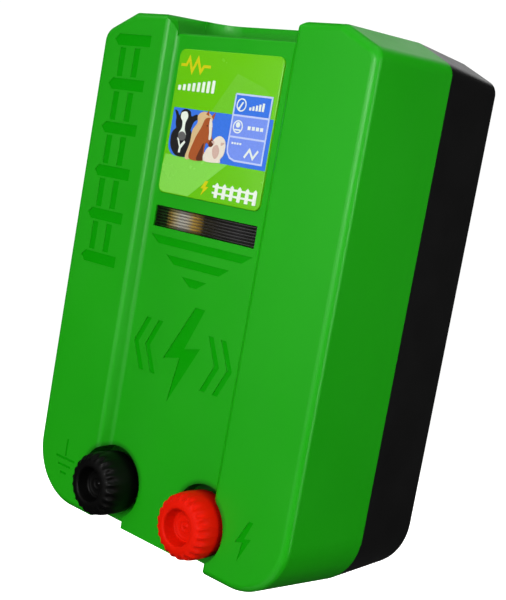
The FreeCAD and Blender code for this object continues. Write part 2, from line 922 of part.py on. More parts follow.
def hex_nut(label, across, thick, bore):
    body = new_body(label)
    pad(body, "XY", 0, thick, hexagon(across), circle(0, 0, bore))
    return body


def washer(label, radius, bore, thick):
    body = new_body(label)
    pad(body, "XY", 0, thick, circle(0, 0, radius), circle(0, 0, bore))
    return body


# ---------------------------------------------------------------- label and display


def make_label_plate():
    body = new_body("label_plate")
    half = size("label_width") / 2
    base = size("label_base")
    pad(body, "XZ", CHANNEL_FACE, CHANNEL_FACE - size("label_thick"),
        rectangle(-half, half, base, base + size("label_height"), size("label_round")))
    return node(body)


def window_flange():
    half = size("window_width") / 2 + size("flange_lap")
    tall = size("window_height") / 2 + size("flange_lap")
    return rectangle(-half, half, WINDOW_LEVEL - tall, WINDOW_LEVEL + tall)


def window_plug(gap):
    half = size("window_width") / 2 - gap
    tall = size("window_height") / 2 - gap
    return rectangle(-half, half, WINDOW_LEVEL - tall, WINDOW_LEVEL + tall)


def make_display_window():
    body = new_body("display_window")
    pad(body, "XZ", FLANGE_BACK, FLANGE_FACE, window_flange())
    pad(body, "XZ", FLANGE_BACK, CHANNEL_FACE + size("window_sink"),
        window_plug(size("window_fit")))
    return node(body)


def make_window_seal():
    body = new_body("window_seal")
    pad(body, "XZ", FLANGE_FACE, CHANNEL_BACK, window_flange(), window_plug(0))
    return node(body)


def make_led_bar():
    """The bar of light segments that lies against the back of the window."""
    half = size("window_width") / 2
    tall = size("window_height") / 2
    body = new_body("led_bar")
    pad(body, "XZ", DISPLAY_FACE, FLANGE_BACK,
        rectangle(-half, half, WINDOW_LEVEL - tall, WINDOW_LEVEL + tall))
    segments = 10
    pitch = size("window_width") / segments
    gaps = []
    for index in range(segments - 1):
        x = pitch * (index + 1) - half
        gaps.append(rectangle(x - 0.3, x + 0.3, WINDOW_LEVEL - 3, WINDOW_LEVEL + 3))
    pocket(body, "XZ", FLANGE_BACK, FLANGE_BACK + 0.8, *gaps)
    return node(body)


def make_display_board():
    half = size("display_board_width") / 2
    tall = size("display_board_height") / 2
    body = new_body("display_board")
    pad(body, "XZ", DISPLAY_FACE, DISPLAY_FACE + size("board_thick"),
        rectangle(-half, half, WINDOW_LEVEL - tall, WINDOW_LEVEL + tall),
        *[circle(x, z, size("board_hole_radius")) for x, z in DISPLAY_POSTS])
    return node(body)


def make_display_ribbon():
    return node(block("display_ribbon", (-8, 8), (DISPLAY_FACE + size("board_thick"), BOARD_FACE),
                      (30.0, 31.0)))


# ---------------------------------------------------------------- main board


def make_main_board():
    half = size("main_board_width") / 2
    body = new_body("main_board")
    pad(body, "XZ", BOARD_FACE, size("main_board_back"),
        rectangle(-half, half, size("main_board_low"), size("main_board_top")),
        *[circle(x, z, size("board_hole_radius")) for x, z in BOARD_POSTS])
    return node(body)


def make_storage_capacitors():
    """Two cans that stand on the board and hold the pulse's charge."""
    cans = []
    for index, x in enumerate((-44.0, -10.0)):
        body = new_body("storage_capacitor_%d" % (index + 1))
        radius = size("capacitor_radius")
        tall = size("capacitor_length")
        groove = 6.0
        revolve(body, [(0, 0), (radius, 0), (radius, groove), (radius - 1, groove + 1),
                       (radius, groove + 2), (radius, tall - 1), (radius - 1, tall), (0, tall)])
        cans.append(place(body, x, BOARD_FACE, size("capacitor_level"), "front"))
    return node(group("storage_capacitors", cans))


def make_heat_sink():
    """An extruded sink: a base plate along the board's edge with upright fins."""
    x0 = 16.0
    x1 = 52.0
    z0 = 62.0
    plate = 3.0
    reach = BOARD_FACE - 26
    parts = [block("sink_plate", (x0, x1), (reach, BOARD_FACE), (z0, z0 + plate))]
    count = 6
    fin = 1.6
    pitch = (x1 - x0 - fin) / (count - 1)
    for index in range(count):
        x = x0 + pitch * index
        parts.append(block("sink_fin_%d" % (index + 1), (x, x + fin), (reach, BOARD_FACE),
                           (z0 + plate, z0 + plate + 12)))
    return node(union("heat_sink", parts))


def make_thyristor():
    """The switch that dumps the capacitors, flat against the sink."""
    tab = block("thyristor_tab", (29.0, 39.0), (BOARD_FACE - 22, BOARD_FACE - 6), (60.6, 62.0))
    case = block("thyristor_case", (29.0, 39.0), (BOARD_FACE - 15, BOARD_FACE - 6), (57.4, 60.6))
    legs = [block("thyristor_leg_%d" % i, (x, x + 0.8), (BOARD_FACE - 6, BOARD_FACE),
                  (58.6, 59.1)) for i, x in enumerate((31.0, 33.6, 36.2))]
    return node(union("thyristor", [tab, case] + legs))


def make_board_parts():
    """The smaller parts that stand on the main board."""
    face = BOARD_FACE
    node(block("bridge_rectifier", (44.0, 60.0), (face - 15, face), (48.0, 52.0)))
    node(block("control_chip", (-52.0, -34.0), (face - 4, face), (8.0, 15.0)))
    node(rod("surge_varistor", 7.0, 4.5, 18.0, face - 8, 12.0, "right"))
    body = new_body("suppressor_choke")
    revolve(body, [(4.0, 0), (10.0, 0), (10.0, 7.0), (4.0, 7.0)])
    node(place(body, -8.0, face, 12.0, "front"))


def make_fuse():
    """A glass fuse in two spring clips."""
    x = 32.0
    y = BOARD_FACE - 6
    z = 8.0
    node(rod("mains_fuse", 2.5, 20.0, x, y, z, "right"))
    clips = []
    for index, start in enumerate((x + 1, x + 15)):
        name = "fuse_clip_%d" % (index + 1)
        holder = block(name + "_block", (start, start + 4), (y - 1, BOARD_FACE), (z - 3.6, z + 3.6))
        bore = rod(name + "_bore", 2.55, 6.0, start - 1, y, z, "right")
        clips.append(cut(name, holder, [bore]))
    return node(group("fuse_clips", clips))


def make_board_resistors():
    """A row of discharge resistors."""
    parts = []
    for index in range(5):
        x = -54.0 + 9 * index
        parts.append(rod("board_resistor_%d" % (index + 1), 2.0, 12.0, x, BOARD_FACE - 2.4, 24.0))
    return node(group("board_resistors", parts))


# ---------------------------------------------------------------- transformers


def make_transformer(name):
    """Laminated core with two windows, and a wound bobbin on its middle limb."""
    x = size(name + "_x")
    y = size(name + "_y")
    z = size("transformer_level")
    wide = size(name + "_width")
    tall = size(name + "_tall")
    stack = size(name + "_stack")
    limb = wide / 6
    yoke = wide / 6
    window = tall / 2 - yoke
    gap = 0.3
    core = new_body(name + "_core")
    holes = [rectangle(x + side * limb, x + side * limb * 2, z - window, z + window)
             for side in (-1, 1)]
    pad(core, "XZ", y - stack / 2, y + stack / 2,
        rectangle(x - wide / 2, x + wide / 2, z - tall / 2, z + tall / 2), *holes,
        *[circle(sx, sz, size("board_hole_radius")) for sx, sz in transformer_spots(name)])
    node(core)
    inner = (limb + gap, stack / 2 + gap)
    sleeve = (limb + gap + 1, stack / 2 + gap + 1)
    outer = (limb * 2 - gap, stack / 2 + limb)
    low = z - window + gap
    top = z + window - gap
    bobbin = new_body(name + "_bobbin")
    pad(bobbin, "XY", low, top, around(x, y, sleeve), around(x, y, inner))
    for start, end in ((low, low + 1.2), (top - 1.2, top)):
        pad(bobbin, "XY", start, end, around(x, y, outer), around(x, y, inner))
    node(bobbin)
    winding = new_body(name + "_winding")
    turns = (outer[0] - 0.6, outer[1] - 0.6)
    pad(winding, "XY", low + 1.2, top - 1.2, around(x, y, turns, 2.0), around(x, y, sleeve))
    node(winding)


def around(x, y, halves, radius=None):
    """A rectangle about x, y with these half sizes."""
    return rectangle(x - halves[0], x + halves[0], y - halves[1], y + halves[1], radius)


def make_terminal_block():
    """Where the mains lead's cores are clamped inside."""
    x0 = 28.0
    x1 = 48.0
    top = -size("wall")
    case = block("terminal_case", (x0, x1), (top - 16, top), (-100.0, -86.0))
    tools = [rod("terminal_way_%d" % i, 2.2, 20.0, x, top - 6, -103.0)
             for i, x in enumerate((33.0, 43.0))]
    wells = [rod("terminal_well_%d" % i, 2.0, 8.0, x, top - 8.5, -93.0, "front")
             for i, x in enumerate((33.0, 43.0))]
    node(cut("terminal_block", case, tools + wells))
    return screw_group("terminal_screws", [(x, top - 12.5, -93.0) for x in (33.0, 43.0)], "front",
                       as_size(1.2), as_size(3.5), as_size(1.9), as_size(1.6))


# ---------------------------------------------------------------- output terminals


def make_stud(name, side):
    """Brass stud: its collar outside the well's floor, its tail inside the case."""
    body = new_body(name + "_stud")
    radius = size("stud_radius")
    tip = size("stud_reach")
    thick = size("stud_collar_thick")
    end = -(size("stud_tail") + size("stud_seal_thick"))
    revolve(body, [(0, end), (radius - 0.8, end), (radius, end + 0.8), (radius, 0),
                   (size("stud_collar_radius"), 0), (size("stud_collar_radius"), thick),
                   (radius, thick), (radius, tip - 0.8), (radius - 0.8, tip), (0, tip)])
    return node(place(body, side * STUD_X, SEAL_FACE, STUD_Z, "front"))


def stud_pair(label, level, build):
    """The same small part on both studs, as one node of two solids."""
    items = []
    for name, side in SIDES:
        item = build("%s_%s" % (name, label))
        items.append(place(item, side * STUD_X, level, STUD_Z, "front"))
    return node(group(label, items))


def bush(label):
    """Insulating bush: its neck fills the hole, its flange lies inside."""
    body = new_body(label)
    neck = size("bush_flange_thick") + size("wall")
    revolve(body, [(size("stud_bore"), 0), (size("bush_flange_radius"), 0),
                   (size("bush_flange_radius"), size("bush_flange_thick")),
                   (size("bush_radius"), size("bush_flange_thick")), (size("bush_radius"), neck),
                   (size("stud_bore"), neck)])
    return body


def make_stud_stack():
    bore = size("stud_bore")
    stud_pair("stud_seals", WELL_FLOOR,
              lambda label: washer(label, size("stud_collar_radius") - 0.5,
                                   size("stud_seal_bore"), size("stud_seal_thick")))
    stud_pair("stud_bushes", BUSH_BACK, bush)
    stud_pair("stud_washers", NUT_FACE,
              lambda label: washer(label, size("bush_flange_radius"), bore,
                                   size("washer_thick")))
    stud_pair("stud_nuts", LUG_FACE,
              lambda label: hex_nut(label, size("nut_across"), size("nut_thick"), bore))
    stud_pair("stud_lock_nuts", LOCK_FACE + size("lock_nut_thick"),
              lambda label: hex_nut(label, size("nut_across"), size("lock_nut_thick"), bore))


def make_lug(name, side):
    """Ring lug under the lock nut, with a barrel that grips the wire."""
    x = side * STUD_X
    body = new_body(name + "_lug")
    half = size("lug_barrel")
    top = STUD_Z + size("lug_reach")
    pad(body, "XZ", LUG_FACE, LOCK_FACE, circle(x, STUD_Z, size("lug_radius")),
        circle(x, STUD_Z, size("stud_bore")))
    pad(body, "XZ", LUG_FACE, LOCK_FACE,
        rectangle(x - half, x + half, STUD_Z + size("lug_radius") - 1, top))
    pad(body, "XY", top - 8, top, circle(x, wire_level(), half))
    return node(body)


def wire_level():
    return LUG_FACE + size("lug_thick") / 2


def tube(label, points, radius):
    """A round wire through points, its corners turned by the largest arcs that fit."""
    tight = 0.45
    start = points[0]
    edges = []
    length = 0.0
    for before, corner, after in zip(points, points[1:], points[2:]):
        back = (before - corner).normalize()
        onward = (after - corner).normalize()
        turn = math.pi - back.getAngle(onward)
        short = min((before - corner).Length, (after - corner).Length)
        trim = tight * short
        bend = trim / math.tan(turn / 2)
        into = corner + back * trim
        out = corner + onward * trim
        centre = corner + (back + onward).normalize() * math.hypot(trim, bend)
        middle = centre + (corner - centre).normalize() * bend
        edges.append(Part.LineSegment(start, into).toShape())
        edges.append(Part.Arc(into, middle, out).toShape())
        length += (into - start).Length + bend * turn
        start = out
        print("%s bend radius %.1f" % (label, bend))
    edges.append(Part.LineSegment(start, points[-1]).toShape())
    length += (points[-1] - start).Length
    path = Part.Wire(edges)
    heading = points[1] - points[0]
    section = Part.Wire(Part.Circle(points[0], heading, radius).toShape())
    shape = path.makePipeShell([section], True, True)
    expected = math.pi * radius ** 2 * length
    if abs(shape.Volume - expected) > 0.01 * expected:
        raise ValueError("%s: volume %.1f, expected %.1f" % (label, shape.Volume, expected))
    item = doc.addObject("Part::Feature", label)
    item.Label = label
    item.Shape = shape
    return node(item)


def make_output_wires():
    """Leads from the output winding to the two lugs."""
    level = wire_level().value
    start = (STUD_Z + size("lug_reach")).value
    winding = size("output_y") - size("output_stack") / 2 - size("output_width") / 6 + 0.6
    face = winding.value
    radius = size("wire_radius").value
    left = -STUD_X.value
    right = STUD_X.value
    tag = -22.0
    vector = FreeCAD.Vector
    tube("earth_wire", [vector(left, level, start), vector(left, level, -54.0),
                        vector(left, face, -54.0)], radius)
    tube("fence_wire", [vector(right, level, start), vector(right, level, -64.0),
                        vector(8.0, level, -48.0), vector(tag, level, -38.0),
                        vector(tag, face, -38.0)], radius)


# ---------------------------------------------------------------- terminal knobs


def make_clamp_washer(name, side):
    body = washer(name + "_clamp_washer", size("clamp_washer_radius"), size("clamp_washer_bore"),
                  size("clamp_washer_thick"))
    return node(place(body, side * STUD_X, COLLAR_FACE - size("clamp_gap"), STUD_Z, "front"))


def make_knob(name, side):
    """Barrel-shaped knob with a fluted rim, a cup in its face and a socket for its insert."""
    body = new_body(name + "_knob")
    length = size("knob_length")
    back = size("knob_back_radius")
    waist = size("knob_waist_radius")
    front = size("knob_front_radius")
    lip = size("knob_lip")
    cup = size("knob_cup_radius")
    floor = length - size("knob_cup_depth")
    socket = size("insert_radius")
    deep = size("insert_length")
    revolve(body, [(socket, 0), (back - lip, 0), (back, lip), (waist, length * 0.42),
                   (waist - 0.2, length * 0.62), (front, length - lip), (front - lip, length),
                   (cup, length), (cup - 0.6, floor + 1.2), (cup - 2.4, floor + 0.5),
                   (cup - 2.4, floor), (0, floor), (0, deep), (socket, deep)])
    flute = pocket(body, "XY", length + 1, length * 0.62,
                   circle(front + size("flute_radius") * 0.55, 0, size("flute_radius")))
    pattern = body.newObject("PartDesign::PolarPattern", body.Name + "_flutes")
    pattern.Originals = [flute]
    pattern.Axis = (origin_feature(body, "Z_Axis"), [""])
    pattern.Angle = 360
    bind(pattern, "Occurrences", size("flute_count"))
    body.Tip = pattern
    return node(place(body, side * STUD_X, KNOB_BACK, STUD_Z, "front"))


def make_insert(name, side):
    """Blind brass insert moulded into the knob, which carries its thread."""
    body = new_body(name + "_insert")
    radius = size("insert_radius")
    bore = size("insert_bore")
    deep = size("insert_length")
    revolve(body, [(bore, 0), (radius, 0), (radius, deep), (0, deep), (0, deep - 0.2),
                   (bore, deep - 0.2)])
    return node(place(body, side * STUD_X, KNOB_BACK, STUD_Z, "front"))


# ---------------------------------------------------------------- mains gland


def make_gland():
    """Body, inner nut, liner and cap of the gland that the mains lead passes through."""
    y = size("gland_y")
    seat = size("gland_boss_low")
    thread = size("gland_thread_radius")
    liner = size("gland_liner_radius")
    thick = size("gland_body_thick")
    cap = size("gland_cap_long")
    neck = 4.0
    top = size("gland_boss_top") + size("gland_nut_thick") + 1.5 - seat
    body = new_body("gland_body")
    pad(body, "XY", -thick, 0, hexagon(size("gland_across")), circle(0, 0, liner))
    pad(body, "XY", -thick - neck, top, circle(0, 0, thread), circle(0, 0, liner))
    node(place(body, 0, y, seat))
    nut = hex_nut("gland_nut", size("gland_across"), size("gland_nut_thick"), thread + 0.05)
    node(place(nut, 0, y, size("gland_boss_top")))
    lead = size("lead_radius")
    lining = washer("gland_seal", liner - 0.05, lead, thick + neck)
    node(place(lining, 0, y, seat - thick - neck))
    outer = thread + 2.6
    shell = new_body("gland_cap")
    revolve(shell, [(lead + 0.4, 0), (outer - 2.2, 0), (outer, 2.2), (outer, cap),
                    (thread + 0.05, cap), (thread + 0.05, cap - neck - 0.05),
                    (lead + 0.4, cap - neck - 0.05)])
    node(place(shell, 0, y, seat - thick - cap))


# ---------------------------------------------------------------- build, check and write


def build():
    fill_sheet()
    make_front_cover()
    make_rear_shell()
    make_case_gasket()
    make_case_screws()
    make_label_plate()
    make_display_window()
    make_window_seal()
    make_led_bar()
    make_display_board()
    make_display_screws()
    make_display_ribbon()
    make_main_board()
    make_board_screws()
    make_storage_capacitors()
    make_heat_sink()
    make_thyristor()
    make_board_parts()
    make_fuse()
    make_board_resistors()
    make_transformer("output")
    make_transformer("supply")
    make_transformer_screws()
    make_terminal_block()
    make_stud_stack()
    for name, side in SIDES:
        make_stud(name, side)
        make_lug(name, side)
        make_clamp_washer(name, side)
        make_knob(name, side)
        make_insert(name, side)
    make_output_wires()
    make_gland()
    doc.recompute()


def check():
    """Stops if a feature failed, a pocket cut nothing, or a node's shape isn't sound."""
    faults = []
    for item in doc.Objects:
        if {"Invalid", "Error"} & set(item.State):
            faults.append("%s: %s" % (item.Label, item.State))
        if item.TypeId == "PartDesign::Pocket":
            base = item.BaseFeature
            if base and item.Shape.Volume > base.Shape.Volume - 0.001:
                faults.append("%s cuts nothing" % item.Label)
    for item in nodes:
        if item.Shape.isNull() or not item.Shape.isValid() or item.Shape.Volume <= 0:
            faults.append("%s: shape isn't sound" % item.Label)
    if faults:
        raise ValueError("\n".join(faults))


def write():
    os.makedirs("parts", exist_ok=True)
    for item in nodes:
        item.Shape.exportStep(os.path.join("parts", item.Label + ".step"))
    print("%d nodes" % len(nodes))


build()
check()
write()
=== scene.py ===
"""Fence energizer: the looks and the small detail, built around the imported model.

Meshes are drawn in millimetres and turned into metres when they become pieces.
The camera, the lamps and the materials work in metres.
The model's wall face is the plane y = 0, its front looks along -y, and z is up.
"""

import math

import bmesh
import bpy
from mathutils import Matrix, Vector


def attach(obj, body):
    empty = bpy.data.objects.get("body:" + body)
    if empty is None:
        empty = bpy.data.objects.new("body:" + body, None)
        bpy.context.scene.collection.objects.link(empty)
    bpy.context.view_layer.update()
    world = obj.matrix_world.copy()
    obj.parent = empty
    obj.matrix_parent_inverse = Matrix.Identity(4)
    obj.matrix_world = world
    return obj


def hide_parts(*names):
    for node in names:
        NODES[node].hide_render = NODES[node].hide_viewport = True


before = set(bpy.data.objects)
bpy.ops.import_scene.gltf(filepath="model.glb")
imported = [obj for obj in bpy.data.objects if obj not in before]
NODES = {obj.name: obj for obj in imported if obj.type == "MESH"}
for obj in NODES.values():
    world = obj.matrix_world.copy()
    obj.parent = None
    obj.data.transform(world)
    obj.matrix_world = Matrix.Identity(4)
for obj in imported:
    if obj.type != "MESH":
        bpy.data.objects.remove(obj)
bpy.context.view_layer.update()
MM = 0.001

# The terminal studs lie at x = STUD_X and x = -STUD_X, in millimetres.
STUD_X = 28.4
STUD_Z = -96.2


# ---------------------------------------------------------------- camera, floor and lights

CAMERA_PLACE = (0.324705, -0.421512, 0.052566)
CAMERA_RIGHT = (0.73557, 0.65473, 0.17394)
CAMERA_UP = (-0.20528, -0.02928, 0.97826)
CAMERA_AHEAD = (-0.64560, 0.75529, -0.11286)
FOCAL_LENGTH = 65.74
SENSOR_WIDTH = 36
FLOOR_LEVEL = -0.42
FLOOR_RADIUS = 6
LAMP_AIM = Vector((0, -0.04, 0))
BACKDROP_STRENGTH = 1.05
ROOM_STRENGTH = 0.03
LAMPS = (
    # name, degrees round from the front to the right, degrees up, distance, width, height, watts, reflected
    ("key light", 27, 15, 0.66, 0.25, 0.25, 3.0, True),
    ("front panel", -12, 8, 1.1, 0.75, 0.8, 1.9, True),
    ("front strip", 0, 2, 1.1, 0.20, 1.0, 0.3, True),
    ("side strip", 86, 3, 1.1, 0.10, 0.9, 4.6, True),
    ("top light", 60, 78, 1.0, 0.7, 0.7, 0.9, True),
    ("upper left light", -68, 44, 1.1, 0.30, 0.4, 0.45, True),
    ("back panel", 203, 35, 1.3, 0.7, 0.7, 1.4, True),
    ("rear light", 226, 8, 1.2, 0.5, 0.5, 5, True),
    ("front fill", -5, 5, 1.3, 1.2, 1.2, 6.5, False),
    ("side fill", 98, 8, 1.3, 1.2, 1.2, 2.0, False),
    ("left fill", -98, 8, 1.3, 1.2, 1.2, 7.0, False),
    ("back fill", 180, 8, 1.3, 1.2, 1.2, 7.0, False),
    ("top fill", 20, 82, 1.3, 1.0, 1.0, 5.0, False),
    ("floor fill", 20, -62, 1.2, 1.0, 1.0, 11.0, False),
)


def add_camera():
    lens = bpy.data.cameras.new("camera")
    lens.lens = FOCAL_LENGTH
    lens.sensor_width = SENSOR_WIDTH
    lens.clip_start = 0.01
    camera = bpy.data.objects.new("camera", lens)
    turn = Matrix((CAMERA_RIGHT, CAMERA_UP, [-part for part in CAMERA_AHEAD])).transposed()
    camera.matrix_world = Matrix.Translation(CAMERA_PLACE) @ turn.to_4x4()
    bpy.context.scene.collection.objects.link(camera)
    bpy.context.scene.camera = camera


def add_floor():
    mesh = bpy.data.meshes.new("floor")
    shape = bmesh.new()
    bmesh.ops.create_circle(shape, cap_ends=True, segments=96, radius=FLOOR_RADIUS)
    shape.to_mesh(mesh)
    shape.free()
    floor = bpy.data.objects.new("floor", mesh)
    floor.location.z = FLOOR_LEVEL
    floor.visible_glossy = False
    floor.visible_diffuse = False
    paint = bpy.data.materials.new("floor")
    paint.use_nodes = True
    shader = paint.node_tree.nodes["Principled BSDF"]
    shader.inputs["Base Color"].default_value = (0.80, 0.80, 0.79, 1)
    shader.inputs["Roughness"].default_value = 0.9
    shader.inputs["Emission Color"].default_value = (1, 1, 1, 1)
    shader.inputs["Emission Strength"].default_value = 1.0
    mesh.materials.append(paint)
    bpy.context.scene.collection.objects.link(floor)


def softbox(name, around, above, away, wide, tall, power, gloss):
    """A rectangular lamp that faces the object. Without gloss it lights it, but makes no reflection."""
    lamp = bpy.data.lights.new(name, "AREA")
    lamp.shape = "RECTANGLE"
    lamp.size = wide
    lamp.size_y = tall
    lamp.energy = power
    holder = bpy.data.objects.new(name, lamp)
    turn = math.radians(around)
    lift = math.radians(above)
    toward = Vector((math.sin(turn) * math.cos(lift), -math.cos(turn) * math.cos(lift), math.sin(lift)))
    holder.location = toward * away + LAMP_AIM
    holder.rotation_euler = toward.to_track_quat("Z", "Y").to_euler()
    holder.visible_camera = False
    holder.visible_glossy = gloss
    bpy.context.scene.collection.objects.link(holder)


def add_world():
    """White behind the object, and a dim room for everything else."""
    world = bpy.data.worlds.new("studio")
    bpy.context.scene.world = world
    world.use_nodes = True
    tree = world.node_tree
    ground = tree.nodes["Background"]
    ground.inputs["Color"].default_value = (1, 1, 1, 1)
    seen = tree.nodes.new("ShaderNodeMix")
    seen.inputs["A"].default_value = ROOM_STRENGTH
    seen.inputs["B"].default_value = BACKDROP_STRENGTH
    path = tree.nodes.new("ShaderNodeLightPath")
    tree.links.new(path.outputs["Is Camera Ray"], seen.inputs["Factor"])
    tree.links.new(seen.outputs["Result"], ground.inputs["Strength"])


add_camera()
add_floor()
add_world()
for settings in LAMPS:
    softbox(*settings)
bpy.context.scene.view_settings.view_transform = "Standard"
bpy.context.scene.view_settings.look = "None"


# ---------------------------------------------------------------- materials


class Finish:
    """A procedural material on a Principled shader. Patterns read object coordinates, which are metres."""

    def __init__(self, name, metallic=0.0, specular=0.5):
        self.material = bpy.data.materials.new(name)
        self.material.use_nodes = True
        self.tree = self.material.node_tree
        self.shader = self.tree.nodes["Principled BSDF"]
        self.place = self.add("TexCoord").outputs["Object"]
        self.shader.inputs["Metallic"].default_value = metallic
        self.shader.inputs["Specular IOR Level"].default_value = specular

    def add(self, kind, **values):
        made = self.tree.nodes.new("ShaderNode" + kind)
        for key, value in values.items():
            setattr(made, key, value)
        return made

    def join(self, source, target):
        if isinstance(source, (int, float)):
            target.default_value = source
        else:
            self.tree.links.new(source, target)

    def feed(self, socket, source):
        self.tree.links.new(source, self.shader.inputs[socket])

    def axes(self, source):
        """A vector's X, Y and Z outputs."""
        split = self.add("SeparateXYZ")
        self.tree.links.new(source, split.inputs[0])
        return split.outputs

    def stretched(self, scale):
        mapping = self.add("Mapping")
        mapping.inputs["Scale"].default_value = scale
        self.tree.links.new(self.place, mapping.inputs["Vector"])
        return mapping.outputs["Vector"]

    def noise(self, scale, detail=2.0, rough=0.5, stretch=None):
        made = self.add("TexNoise")
        made.inputs["Scale"].default_value = scale
        made.inputs["Detail"].default_value = detail
        made.inputs["Roughness"].default_value = rough
        source = self.stretched(stretch) if stretch else self.place
        self.tree.links.new(source, made.inputs["Vector"])
        return made.outputs["Fac"]

    def seams(self, scale, stretch):
        """The distance to the nearest seam between cells."""
        made = self.add("TexVoronoi", feature="DISTANCE_TO_EDGE")
        made.inputs["Scale"].default_value = scale
        self.tree.links.new(self.stretched(stretch), made.inputs["Vector"])
        return made.outputs["Distance"]

    def waves(self, scale, direction, distortion=0.0):
        made = self.add("TexWave", wave_type="BANDS", bands_direction=direction)
        made.inputs["Scale"].default_value = scale
        made.inputs["Distortion"].default_value = distortion
        self.tree.links.new(self.place, made.inputs["Vector"])
        return made.outputs["Fac"]

    def math(self, operation, first, second=0.0, third=0.0):
        made = self.add("Math", operation=operation)
        for value, target in zip((first, second, third), made.inputs):
            self.join(value, target)
        return made.outputs[0]

    def product(self, first, *others):
        for other in others:
            first = self.math("MULTIPLY", first, other)
        return first

    def span(self, source, low, high, start=0.3, stop=0.7):
        """source from start to stop becomes low to high, and no further."""
        made = self.add("MapRange")
        for key, value in (("From Min", start), ("From Max", stop), ("To Min", low), ("To Max", high)):
            made.inputs[key].default_value = value
        self.tree.links.new(source, made.inputs["Value"])
        return made.outputs["Result"]

    def ramp(self, source, stops):
        """Colours along source, each stop a position and a colour."""
        made = self.add("ValToRGB")
        line = made.color_ramp
        while len(line.elements) < len(stops):
            line.elements.new(0.5)
        for element, (at, colour) in zip(line.elements, stops):
            element.position = at
            element.color = (*colour, 1)
        self.tree.links.new(source, made.inputs["Fac"])
        return made.outputs["Color"]

    def blend(self, factor, first, second):
        """A colour between first and second, each a colour or an output."""
        made = self.add("Mix", data_type="RGBA")
        self.join(factor, made.inputs["Factor"])
        for value, target in ((first, made.inputs["A"]), (second, made.inputs["B"])):
            if isinstance(value, tuple):
                target.default_value = (*value, 1)
            else:
                self.tree.links.new(value, target)
        return made.outputs["Result"]

    def mixed(self, factor, first, second):
        """A value between first and second, each a number or an output."""
        made = self.add("Mix")
        for value, socket in ((factor, "Factor"), (first, "A"), (second, "B")):
            self.join(value, made.inputs[socket])
        return made.outputs["Result"]

    def bump(self, height, depth):
        """Gives the surface a relief of depth millimetres."""
        made = self.add("Bump")
        made.inputs["Strength"].default_value = 1.0
        made.inputs["Distance"].default_value = depth * MM
        self.tree.links.new(height, made.inputs["Height"])
        self.feed("Normal", made.outputs["Normal"])


# Painted shade at the back of a knob deepens over the depth below; at its darkest it covers the share of the
# colour, and the darkness is how much of the colour shows through it.
SHADE_DEPTH = 0.007
SHADE_SHARE = 0.75
SHADE_DARKNESS = 0.12


def moulded(name, colour, roughness, grain, depth, shift, specular=0.5, shade_behind=None):
    """Moulded plastic: a fine eroded grain, faint flow clouds, and a few rubbed patches.

    The last argument is a y in metres behind which the colour is painted darker as shade, deepening over the
    shade depth.
    """
    finish = Finish(name, specular=specular)
    darker = tuple(part * (1 - shift) for part in colour)
    lighter = tuple(min(1, part * (1 + shift)) for part in colour)
    clouds = finish.noise(14, 3, 0.55)
    paint = finish.ramp(clouds, [(0.35, darker), (0.65, lighter)])
    # Painted shade: the colour darkens towards the back, behind the given y.
    if shade_behind:
        painted_shade = finish.span(finish.axes(finish.place)["Y"], 0.0, SHADE_SHARE, shade_behind, shade_behind + SHADE_DEPTH)
        paint = finish.blend(painted_shade, paint, tuple(part * SHADE_DARKNESS for part in colour))
    finish.feed("Base Color", paint)
    rubbed = finish.noise(45, 4, 0.6)
    finish.feed("Roughness", finish.span(rubbed, roughness - 0.05, roughness + 0.06))
    finish.bump(finish.noise(grain, 2, 0.6), depth)
    return finish


def metal(name, colour, roughness, depth=0.01, stretch=(1, 1, 1)):
    """Plated or turned metal: fine tool lines, light tarnish and small scratches."""
    finish = Finish(name, metallic=1.0)
    tarnish = finish.noise(160, 4, 0.6)
    dull = tuple(part * 0.72 for part in colour)
    finish.feed("Base Color", finish.ramp(tarnish, [(0.36, dull), (0.6, colour)]))
    finish.feed("Roughness", finish.span(finish.noise(420, 3, 0.6), roughness - 0.08, roughness + 0.14))
    finish.bump(finish.noise(900, 3, 0.6, stretch), depth)
    return finish


def printed(name, colour):
    """Ink under clear resin, with the print's faint speckle and soft waves in the resin."""
    finish = Finish(name)
    speckle = finish.noise(2600, 2, 0.5)
    paler = tuple(min(1, part * 1.05 + 0.004) for part in colour)
    darker = tuple(part * 0.95 for part in colour)
    finish.feed("Base Color", finish.ramp(speckle, [(0.35, darker), (0.65, paler)]))
    finish.feed("Roughness", finish.span(finish.noise(70, 3), 0.17, 0.30))
    finish.bump(finish.noise(55, 2), 0.03)
    return finish


# Where the cover is painted differently: the sunk marks' floors (y), the trough (y, z, z and x),
# and the painted shade in each well (radii around a stud, and levels above it).
PAD_MARK_FLOOR = -0.0871
CHANNEL_MARK_FLOOR = -0.08217
MARK_SLACK = 0.00012
TROUGH_FRONT = -0.0822
TROUGH_FLOOR = 0.1068
TROUGH_FADE = (0.1115, 0.1148)
TROUGH_REACH = 0.0460
WELL_SHADE_RADII = (0.0158, 0.0190)
WELL_SHADE_LEVELS = (-0.004, 0.008)


